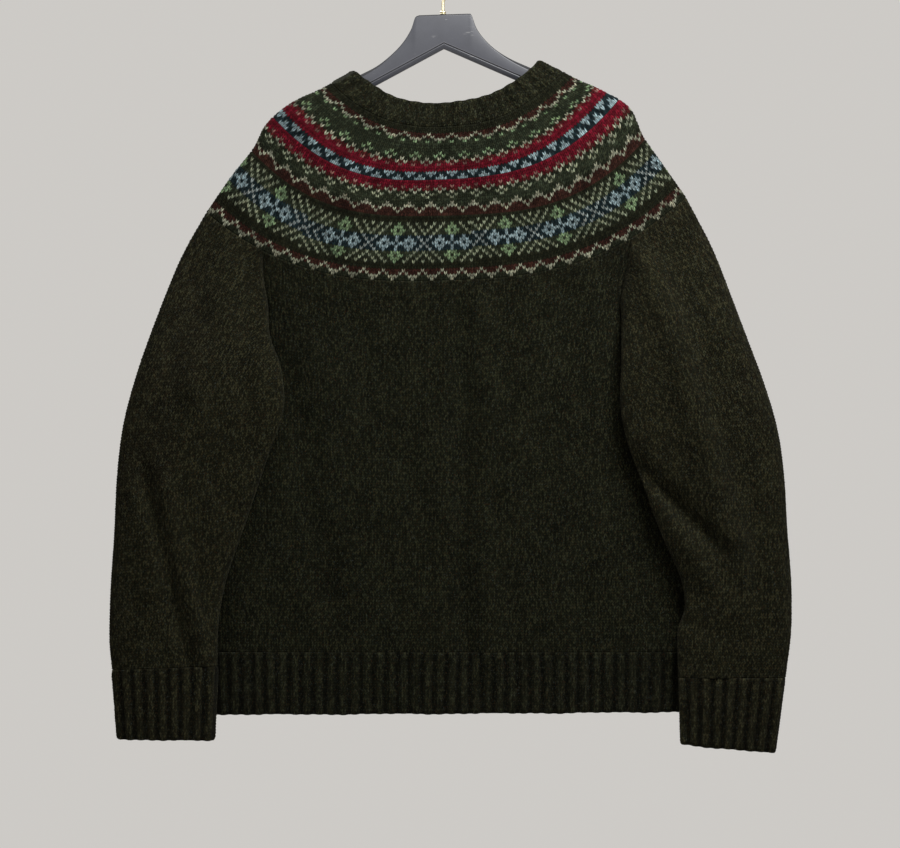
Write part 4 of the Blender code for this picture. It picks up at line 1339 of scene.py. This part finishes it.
def cloth_rest_points(numbers, is_left):
    """Where the outline of the cloth rests on the bar: half a wall and a gap under the shoulder line."""
    places = [row.number for row in YOKE]
    end = "left" if is_left else "right"
    x = smooth(YOKE, end + "_x", np.array(numbers), places)
    z = smooth(YOKE, end + "_z", np.array(numbers), places)
    slope = np.gradient(z, x)
    rest = np.stack([x, z - (WALL / 2 + CLOTH_REST_GAP) * np.hypot(1, slope)], axis=1)
    tip = rest[-1] + (rest[-1] - rest[-2]) / abs(x[-1] - x[-2]) * HANGER_TIP - (0, HANGER_TIP_DROP)
    return np.append(rest, [tip], axis=0)


def hanger_sections(line):
    """The bar's twelve-cornered section at each point of its upper line, down its near side and up its far
    side: top, chamfer, straight face, lip, groove, bevel, foot. The foot falls from the apex at a steady
    slope."""
    x, top = line[:, 0], line[:, 1]
    reach = np.abs(x - HANGER_APEX_X)
    foot = HANGER_APEX_Z - np.where(x < HANGER_APEX_X, HANGER_LEFT_FALL, HANGER_RIGHT_FALL) * reach
    half = np.interp(reach, HANGER_OPEN_TO_CLAD, (HANGER_OPEN_TOP_HALF_DEPTH, HANGER_CLAD_TOP_HALF_DEPTH))
    chamfer = np.interp(reach, HANGER_OPEN_TO_CLAD, (HANGER_OPEN_CHAMFER, HANGER_CLAD_CHAMFER))
    full = np.full_like(x, HANGER_HALF_DEPTH)
    narrow = np.full_like(x, HANGER_FOOT_HALF_DEPTH)
    bevel = foot + HANGER_BEVEL
    corners = (
        (half, top), (full, top - chamfer), (full, bevel + HANGER_LIP),
        (full - HANGER_GROOVE, bevel + HANGER_GROOVE_TOP),
        (full - HANGER_BEVEL_INSET, bevel + HANGER_GROOVE_FOOT), (narrow, foot),
    )
    y, z = (np.stack([corner[axis] for corner in corners], axis=1) for axis in (0, 1))
    y, z = np.concatenate([-y, y[:, ::-1]], axis=1), np.concatenate([z, z[:, ::-1]], axis=1)
    return np.stack([np.broadcast_to(x[:, None], y.shape), y, z], axis=2)


def rounded(sections):
    """Each corner P between A and B becomes points of the curve (1-t)^2 A' + 2t(1-t) P + t^2 B', with A'
    and B' a small edge's width from P."""
    before, after = np.roll(sections, 1, axis=1), np.roll(sections, -1, axis=1)
    start = sections + unit(before - sections) * HANGER_EDGE
    end = sections + unit(after - sections) * HANGER_EDGE
    start, corner, end = start[:, :, None], sections[:, :, None], end[:, :, None]
    t = np.linspace(0, 1, HANGER_EDGE_POINTS)[None, None, :, None]
    curve = (1 - t) ** 2 * start + 2 * t * (1 - t) * corner + t**2 * end
    return curve.reshape(len(sections), -1, 3)


def painted_line_shades(sections):
    """How dark (1) or pale (-1) the bar is painted at each corner point of its section: dark along its
    upper edges, with painted shade in the groove and a painted highlight on the lip above the groove."""
    down = np.repeat(HANGER_PAINTED_LINES, HANGER_EDGE_POINTS)
    down[HANGER_EDGE_POINTS : HANGER_EDGE_POINTS + 2] = HANGER_PAINTED_LINE_START
    down[2 * HANGER_EDGE_POINTS] = 0.0
    return np.tile(np.concatenate([down, down[::-1]]), sections)


def tube_triangles(rows, sides):
    """Triangles of a closed tube of rows, with a fan on each end about the points that follow the rows."""
    corner = np.arange(rows * sides).reshape(rows, sides)
    turned = np.roll(corner, -1, axis=1)
    a, b, c, d = corner[:-1], turned[:-1], turned[1:], corner[1:]
    first = np.full(sides, rows * sides)
    fans = [(corner[0], first, turned[0]), (corner[-1], turned[-1], first + 1)]
    return triangle_rows([(a, b, c), (a, c, d), *fans])


def closed_tube(x, y, z, ends):
    """Points and triangles of a closed tube, from the corners of its rows and the middles of its two
    ends."""
    points = np.concatenate([np.stack([x, y, z], axis=2).reshape(-1, 3), ends])
    return points, tube_triangles(*x.shape)


def make_hanger_bar():
    """The bar: its section carried along its upper line, with the ends drawn in to rounded tips."""
    left = np.concatenate([hanger_line(HANGER_LEFT_LINE), cloth_rest_points(HANGER_LEFT_ROUNDS, True)])
    right = np.concatenate([hanger_line(HANGER_RIGHT_LINE), cloth_rest_points(HANGER_RIGHT_ROUNDS, False)])
    line = np.concatenate([left[::-1], [[HANGER_APEX_X, HANGER_TOP]], right])
    sections = rounded(hanger_sections(line))
    middles = sections.mean(axis=1, keepdims=True)
    inward = np.sign(HANGER_APEX_X - middles[[0, -1], 0, 0])[:, None, None]
    caps = middles[[0, -1]] + (sections[[0, -1]] - middles[[0, -1]]) * HANGER_CAP_SIZE
    sections[[0, -1]] += inward * np.array([HANGER_CAP_LENGTH, 0.0, 0.0])
    sections = np.concatenate([caps[:1], sections, caps[1:]])
    points = np.concatenate([sections.reshape(-1, 3), caps.mean(axis=1)])
    painted_shades = np.append(painted_line_shades(len(sections)), [0.0, 0.0])
    return points, tube_triangles(len(sections), sections.shape[1]), painted_shades


def make_hook_wire():
    """The hook: a circle carried along the stem, a bend that is a cubic curve, and the arc, to a round
    end."""
    centre = HOOK_WIRE / 2 - HOOK_RADIUS
    angles = np.radians(np.linspace(*HOOK_ANGLES, HOOK_ARC_POINTS))
    arc = np.stack([HOOK_RADIUS * np.cos(angles), centre + HOOK_RADIUS * np.sin(angles)], axis=1)
    heading = np.array([-math.sin(angles[0]), math.cos(angles[0])])
    stem_top = np.array([0.0, HOOK_STEM_TOP])
    handles = (stem_top, stem_top + (0, HOOK_BEND_REACH), arc[0] - heading * HOOK_BEND_REACH, arc[0])
    t = np.linspace(0, 1, HOOK_BEND_POINTS)[:, None]
    bend = sum(math.comb(3, k) * t**k * (1 - t) ** (3 - k) * handles[k] for k in range(4))
    foot = [[0.0, HANGER_TOP + NUT_PROFILE[-1][1] + 2 * SEAT_GAP]]
    route = np.concatenate([foot, bend, arc[1:]])
    along = unit(np.gradient(route, axis=0))
    cap = np.linspace(0, math.pi / 2, HOOK_CAP_POINTS + 1)[1:-1]
    drawn_out = along[-1] * np.sin(cap)[:, None] * HOOK_WIRE / 2 * HOOK_CAP_LENGTH
    route = np.concatenate([route, route[-1] + drawn_out])
    along = np.concatenate([along, np.repeat(along[-1:], len(cap), axis=0)])
    radius = np.concatenate([np.full(len(route) - len(cap), 1.0), np.cos(cap)]) * HOOK_WIRE / 2
    side = np.stack([along[:, 1], -along[:, 0]], axis=1)
    turn = np.arange(HOOK_SIDES) * 2 * math.pi / HOOK_SIDES
    x = route[:, :1] + side[:, :1] * np.cos(turn) * radius[:, None]
    z = route[:, 1:] + side[:, 1:] * np.cos(turn) * radius[:, None]
    y = np.sin(turn) * radius[:, None]
    tip = route[-1] + along[-1] * HOOK_WIRE / 2 * HOOK_TIP_LENGTH
    ends = [[route[0, 0], 0, route[0, 1]], [tip[0], 0, tip[1]]]
    return *closed_tube(x, y, z, ends), None


def make_nut():
    """The nut at the hook's foot: its profile of radius and height, turned about the stem."""
    profile = np.array(NUT_PROFILE)[1:-1]
    turn = np.arange(NUT_SIDES) * 2 * math.pi / NUT_SIDES
    foot = HANGER_TOP + SEAT_GAP
    x, y = profile[:, :1] * np.cos(turn), profile[:, :1] * np.sin(turn)
    z = np.broadcast_to(foot + profile[:, 1:], x.shape)
    ends = [[0, 0, foot + NUT_PROFILE[0][1]], [0, 0, foot + NUT_PROFILE[-1][1]]]
    return *closed_tube(x, y, z, ends), None


# ---------------------------------------------------------------- sizes and colours


def colour_property(name, what, colour):
    return bpy.props.FloatVectorProperty(
        name=name, description=what, default=colour, subtype="COLOR", size=3, min=0.0, max=1.0
    )


def share_property(name, what, default, greatest):
    return bpy.props.FloatProperty(
        name=name, description=what, default=default, min=0.0, max=greatest, subtype="FACTOR"
    )


def length_property(name, what, default, **limits):
    return bpy.props.FloatProperty(
        name=name, description=what, default=default, subtype="DISTANCE", unit="LENGTH", **limits
    )


def power_property(name, what, default):
    return bpy.props.FloatProperty(name=name, description=what, default=default, min=0.0, unit="POWER")


class JumperWools(bpy.types.PropertyGroup):
    dark: colour_property("Dark", "Main wool of the body and the neck", (0.0084, 0.0094, 0.0051))
    warm: colour_property(
        "Warm dark", "A slightly warmer lot of the main wool, in the sleeves", (0.0112, 0.0115, 0.0061)
    )
    moss: colour_property("Moss", "Dark ground with a green cast", (0.0112, 0.0136, 0.0080))
    forest: colour_property("Forest", "Dark green ground", (0.0156, 0.0200, 0.0118))
    navy: colour_property(
        "Navy", "Ground of the flowers' middles and of the small white band", (0.0062, 0.0125, 0.0150)
    )
    russet: colour_property("Russet", "Ground of the toothed borders", (0.0225, 0.0092, 0.0068))
    maroon: colour_property("Maroon", "Ground between the crimson and the green", (0.044, 0.0082, 0.0080))
    crimson: colour_property("Crimson", "Plain bands round the yoke", (0.073, 0.0038, 0.0092))
    cream: colour_property("Cream", "Toothed borders", (0.160, 0.168, 0.124))
    rose: colour_property("Rose", "Dots on the crimson", (0.115, 0.055, 0.048))
    mint: colour_property("Mint", "Outer petals", (0.102, 0.153, 0.084))
    sky: colour_property("Sky", "Inner petals and the small white band", (0.140, 0.194, 0.210))
    lichen: colour_property("Lichen", "Dots between the outer petals", (0.130, 0.150, 0.102))
    frost: colour_property("Frost", "Dots between the inner petals", (0.150, 0.180, 0.178))
    rust: colour_property("Rust flecks", "Flecks spun into the yarn", (0.024, 0.012, 0.006))
    straw: colour_property("Straw flecks", "Flecks spun into the yarn", (0.034, 0.031, 0.016))
    ash: colour_property("Ash flecks", "Flecks spun into the yarn", (0.028, 0.034, 0.031))
    nap: share_property("Nap", "Strength of the soft sheen of the wool's loose fibres", 0.015, 1.0)


class JumperKnit(bpy.types.PropertyGroup):
    relief: length_property(
        "Stitch height", "How far the legs of a stitch stand out of the cloth", 0.00085,
        min=0.0, max=0.002, precision=5,
    )
    rib_rise: length_property(
        "Rib height", "How far the ribs stand out of the channels between them", 0.0020,
        min=0.0, max=0.004, precision=5,
    )
    zigzag: share_property(
        "V depth", "How far down a stitch's point reaches, as a share of a row's height", 0.38, 0.45
    )
    uneven: share_property(
        "Unevenness", "How far stitches stray from their places, as a share of a stitch", 0.05, 0.2
    )


class JumperHanger(bpy.types.PropertyGroup):
    plastic: colour_property("Plastic", "Satin grey of the bar", (0.0300, 0.0315, 0.0385))
    brass: colour_property("Brass", "Polished wire", (0.80, 0.73, 0.52))
    brass_dull: colour_property("Dull brass", "Duller patches of the wire", (0.60, 0.52, 0.33))


class JumperStage(bpy.types.PropertyGroup):
    surround: colour_property("Surround", "Pale grey round the jumper", (0.610, 0.592, 0.566))
    floor_drop: length_property("Floor", "Height of the floor under the hook", -1.68, max=-1.0)
    key: power_property("Key light", "Power of the light above and to the right", 46.0)
    fill: power_property("Fill light", "Power of the light from the left", 10.0)
    back: power_property("Back light", "Power of the light on the far side", 44.0)
    distance: length_property("Camera distance", "From the camera to the cloth", 4.0, min=1.0)


def knit_settings():
    """The knitting's sizes, in millimetres and shares of a stitch."""
    knit = bpy.context.scene.jumper_knit
    return {
        "relief": knit.relief / MM, "rib_rise": knit.rib_rise / MM,
        "zigzag": knit.zigzag, "uneven": knit.uneven,
    }


def wool_colours():
    """The colours of the wools that the yoke's chart names."""
    wools = bpy.context.scene.jumper_wools
    names = {name for row in CHART_BELOW + CHART_ABOVE for name in (row.ground, row.contrast)}
    names |= {name for row in FLOWER_WOOLS for name in row}
    return {name: np.array(getattr(wools, name)) for name in sorted(names)}


CLOTH = {}


def cloth():
    """The middle surfaces and their normals, worked out once."""
    if not CLOTH:
        grids = cloth_grids()
        normals = shared_normals(grids)
        CLOTH.update({name: (grid, normals[name], is_ring) for name, (grid, is_ring) in grids.items()})
    return CLOTH


# ---------------------------------------------------------------- operators


class JUMPER_OT_yoke(bpy.types.Operator):
    """Knit the yoke: six bands of stitches that grow fewer towards the neck, each row from the chart"""

    bl_idname = "jumper.yoke"
    bl_label = "Knit the yoke"

    def execute(self, context):
        laid = laid_out(*cloth()["yoke"])
        start = arc_at(laid, np.full(len(laid.length), YOKE_CENTRE_X), 1)
        wools = wool_colours()
        patches, outer = [], None
        for number, band in enumerate(YOKE_BANDS):
            gauge = round_gauge(laid, band.stitches, start)
            lines = np.arange(band.first_row, band.last_row + 1, dtype=float)
            lines[0] += BAND_GAP if band.first_row else SEAM_GAP
            lines[-1] -= BAND_GAP if band.last_row < YOKE_ROWS else SEAM_GAP
            patch, edges, (line, stitch) = knitted(laid, gauge, lines, knit_settings(), seed=number)
            patches.append(patch._replace(wool=chart_colours(line + band.first_row, stitch, wools)))
            if outer:
                strip = band_strip(laid, outer["top"], edges["foot"])
                row = np.full(len(strip.triangles), band.first_row)
                patches.append(strip._replace(wool=ground_colours(row, wools)))
                outer["top"] = edges["top"]
            else:
                outer = edges
        back, inner = wrong_side(laid, round_gauge(laid, YOKE_BANDS[1].stitches, start), stitch_lines(laid))
        for part in [back, *rims(outer, inner, False)]:
            rows = part.knit[part.triangles, 1].mean(axis=1)
            patches.append(part._replace(wool=ground_colours(rows, wools)))
        materials = [
            wool_material("yoke_wool_right_side", None, False),
            wool_material("yoke_wool_wrong_side", None, True),
        ]
        piece = add_knitting("yoke_knit", patches, materials)
        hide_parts("yoke")
        return {"FINISHED"}


class JUMPER_OT_panels(bpy.types.Operator):
    """Knit the back and front panels, from the hem ribs up to the yoke's edge"""

    bl_idname = "jumper.panels"
    bl_label = "Knit the panels"

    def execute(self, context):
        for seed, (name, heading) in enumerate((("back_panel", 1), ("front_panel", -1))):
            grid, normals, is_ring = cloth()[name]
            rows = rows_of(grid, PANEL_ROW_HEIGHT)
            laid = laid_out(grid, normals, is_ring, rows)
            piece = knit_piece(
                name + "_knit", laid, panel_gauge(laid, heading), plain_wools("dark"), True, plump=False,
                seed=SEEDS["panels"] + seed,
            )
            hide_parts(name)
        return {"FINISHED"}


class JUMPER_OT_hems(bpy.types.Operator):
    """Knit the ribbed hem bands of the back and the front"""

    bl_idname = "jumper.hems"
    bl_label = "Knit the hem ribs"

    def execute(self, context):
        for seed, (name, panel) in enumerate(
            (("hem_rib_back", "back_panel_knit"), ("hem_rib_front", "front_panel_knit"))
        ):
            laid = laid_out(*cloth()[name])
            piece = knit_piece(
                name + "_knit", laid, band_gauge(laid, PANEL_STITCHES),
                plain_wools("dark", "hem_rib", HEM_RIBS), True, plump=False, ribs=HEM_RIBS.first,
                rolled=(True, False), seed=SEEDS["hems"] + seed,
            )
            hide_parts(name)
        return {"FINISHED"}


class JUMPER_OT_neckband(bpy.types.Operator):
    """Knit the ribbed neckband"""

    bl_idname = "jumper.neckband"
    bl_label = "Knit the neckband"

    def execute(self, context):
        laid = laid_out(*cloth()["neckband"])
        start = arc_at(laid, np.full(len(laid.length), YOKE_CENTRE_X), 1)
        gauge = round_gauge(laid, NECK_STITCHES, start)
        # With no shift the painted shade between rows is drawn as a dark line along the neckband's foot
        piece = knit_piece(
            "neckband_knit", laid, gauge, plain_wools("dark", "neck_rib", NECK_RIBS), False, plump=True,
            ribs=NECK_RIBS.first, rolled=(False, True), seam_shade=0.0, seed=SEEDS["neckband"],
        )
        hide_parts("neckband")
        return {"FINISHED"}


class JUMPER_OT_sleeves(bpy.types.Operator):
    """Knit the two sleeves, each a tube from its cuff up to the yoke and the armpit"""

    bl_idname = "jumper.sleeves"
    bl_label = "Knit the sleeves"

    def execute(self, context):
        for seed, side in enumerate(("left", "right")):
            grid, normals, is_ring = cloth()["sleeve_" + side]
            rows = rows_of(grid, SLEEVE_ROW_HEIGHT)
            laid = laid_out(grid, normals, is_ring, rows, SLEEVE_HALF_COLUMNS)
            piece = knit_piece(
                f"sleeve_{side}_knit", laid, sleeve_gauge(laid, side == "left"), plain_wools("warm"), False,
                plump=False, seed=SEEDS["sleeves"] + seed,
            )
            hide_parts(f"sleeve_{side}_back", f"sleeve_{side}_front")
        return {"FINISHED"}


class JUMPER_OT_cuffs(bpy.types.Operator):
    """Knit the two ribbed cuffs"""

    bl_idname = "jumper.cuffs"
    bl_label = "Knit the cuffs"

    def execute(self, context):
        for seed, side in enumerate(("left", "right")):
            laid = laid_out(*cloth()["cuff_" + side], mark=SLEEVE_HALF_COLUMNS)
            start = np.zeros_like(laid.mark) if side == "left" else laid.mark
            piece = knit_piece(
                f"cuff_{side}_knit", laid, round_gauge(laid, CUFF_STITCHES, start),
                plain_wools("warm", "cuff_rib", CUFF_RIBS), False, plump=True, ribs=CUFF_RIBS.first,
                rolled=(True, False), seed=SEEDS["cuffs"] + seed,
            )
            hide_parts("cuff_" + side)
        return {"FINISHED"}


class JUMPER_OT_hanger(bpy.types.Operator):
    """Shape the hanger's bar, its hook and the nut at the hook's foot"""

    bl_idname = "jumper.hanger"
    bl_label = "Shape the hanger"

    def execute(self, context):
        plastic, brass = plastic_material(), brass_material()
        for name, node, slot, (points, triangles, painted_shades), material, sharp in (
            ("hanger_bar_shaped", "hanger_bar", "hanger_plastic", make_hanger_bar(), plastic, 40),
            ("hanger_hook_wire", "hanger_hook", "hook_brass", make_hook_wire(), brass, 60),
            ("hook_nut", "hook_collar", "hook_brass", make_nut(), brass, 40),
        ):
            piece = add_mesh(name, points, triangles, [material])
            piece.data.set_sharp_from_angle(angle=math.radians(sharp))
            # The bar carries its painted shade and highlight as a point attribute
            if painted_shades is not None:
                piece.data.attributes.new("lines", "FLOAT", "POINT").data.foreach_set("value", painted_shades)
            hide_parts(node)
        return {"FINISHED"}


def add_floor(stage):
    """The pale round floor, far enough down for the jumper to hang clear of it."""
    turn = np.arange(FLOOR_SIDES) * 2 * math.pi / FLOOR_SIDES
    x, y = np.cos(turn) * FLOOR_RADIUS, np.sin(turn) * FLOOR_RADIUS
    points = np.stack([x, y, np.full(FLOOR_SIDES, stage.floor_drop)], axis=1)
    mesh = bpy.data.meshes.new("floor")
    mesh.from_pydata(points.tolist(), [], [list(range(FLOOR_SIDES))])
    floor = add_object("floor", mesh)
    recipe = Recipe("pale_floor")
    where = recipe.node("ShaderNodeTexCoord").outputs["Object"]
    tone = recipe.shaded((*stage.surround, 1.0), 0.97 + recipe.noise(where, 3.0, 2.0) * 0.06)
    recipe.fill(recipe.shader, {"Base Color": tone, "Roughness": 0.8})
    mesh.materials.append(recipe.material)


def add_lamp(lamp, power):
    """A soft square lamp that points at its aim."""
    data = bpy.data.lights.new(lamp.name, "AREA")
    data.energy, data.size = power, lamp.size
    light = add_object(lamp.name, data)
    light.location = lamp.place
    light.rotation_euler = (Vector(lamp.aim) - Vector(lamp.place)).to_track_quat("-Z", "Y").to_euler()


def add_camera(distance):
    """The camera, level and square to the jumper's back. Its lens frames the same width from any
    distance."""
    camera = bpy.data.cameras.new("camera")
    camera.sensor_width = SENSOR_WIDTH
    camera.lens = camera.sensor_width * distance / SEEN_WIDTH
    viewer = add_object("camera", camera)
    viewer.location = (CAMERA_X, CLOTH_Y - distance, CAMERA_Z)
    viewer.rotation_euler = (math.pi / 2, 0.0, 0.0)
    bpy.context.scene.camera = viewer


class JUMPER_OT_stage(bpy.types.Operator):
    """Set the pale floor, the soft lights, the surround and the camera"""

    bl_idname = "jumper.stage"
    bl_label = "Set the stage"

    def execute(self, context):
        stage = context.scene.jumper_stage
        add_floor(stage)
        world = bpy.data.worlds.new("soft_surround")
        context.scene.world = world
        world.use_nodes = True
        world.node_tree.nodes["Background"].inputs["Color"].default_value = (*stage.surround, 1.0)
        for lamp in LAMPS:
            add_lamp(lamp, getattr(stage, lamp.power))
        add_camera(stage.distance)
        context.scene.view_settings.view_transform = "Standard"
        return {"FINISHED"}


class JUMPER_PT_panel(bpy.types.Panel):
    """The jumper's steps, sizes and colours"""

    bl_idname = "JUMPER_PT_panel"
    bl_label = "Fair Isle Jumper"
    bl_space_type = "VIEW_3D"
    bl_region_type = "UI"
    bl_category = "Jumper"

    def draw(self, context):
        for step in STEPS:
            self.layout.operator(step.bl_idname)
        for group in GROUPS:
            settings = getattr(context.scene, group)
            for name in settings.__annotations__:
                self.layout.prop(settings, name)


STEPS = (
    JUMPER_OT_stage, JUMPER_OT_yoke, JUMPER_OT_panels, JUMPER_OT_hems, JUMPER_OT_neckband,
    JUMPER_OT_sleeves, JUMPER_OT_cuffs, JUMPER_OT_hanger,
)
GROUPS = {
    "jumper_wools": JumperWools, "jumper_knit": JumperKnit, "jumper_hanger": JumperHanger,
    "jumper_stage": JumperStage,
}


def register():
    for made in (*GROUPS.values(), *STEPS, JUMPER_PT_panel):
        bpy.utils.register_class(made)
    for name, group in GROUPS.items():
        setattr(bpy.types.Scene, name, bpy.props.PointerProperty(type=group))


def unregister():
    for name in GROUPS:
        delattr(bpy.types.Scene, name)
    for made in (JUMPER_PT_panel, *STEPS[::-1], *list(GROUPS.values())[::-1]):
        bpy.utils.unregister_class(made)


def main():
    register()
    for step in STEPS:
        group, name = step.bl_idname.split(".")
        getattr(getattr(bpy.ops, group), name)()


if __name__ == "__main__":
    main()
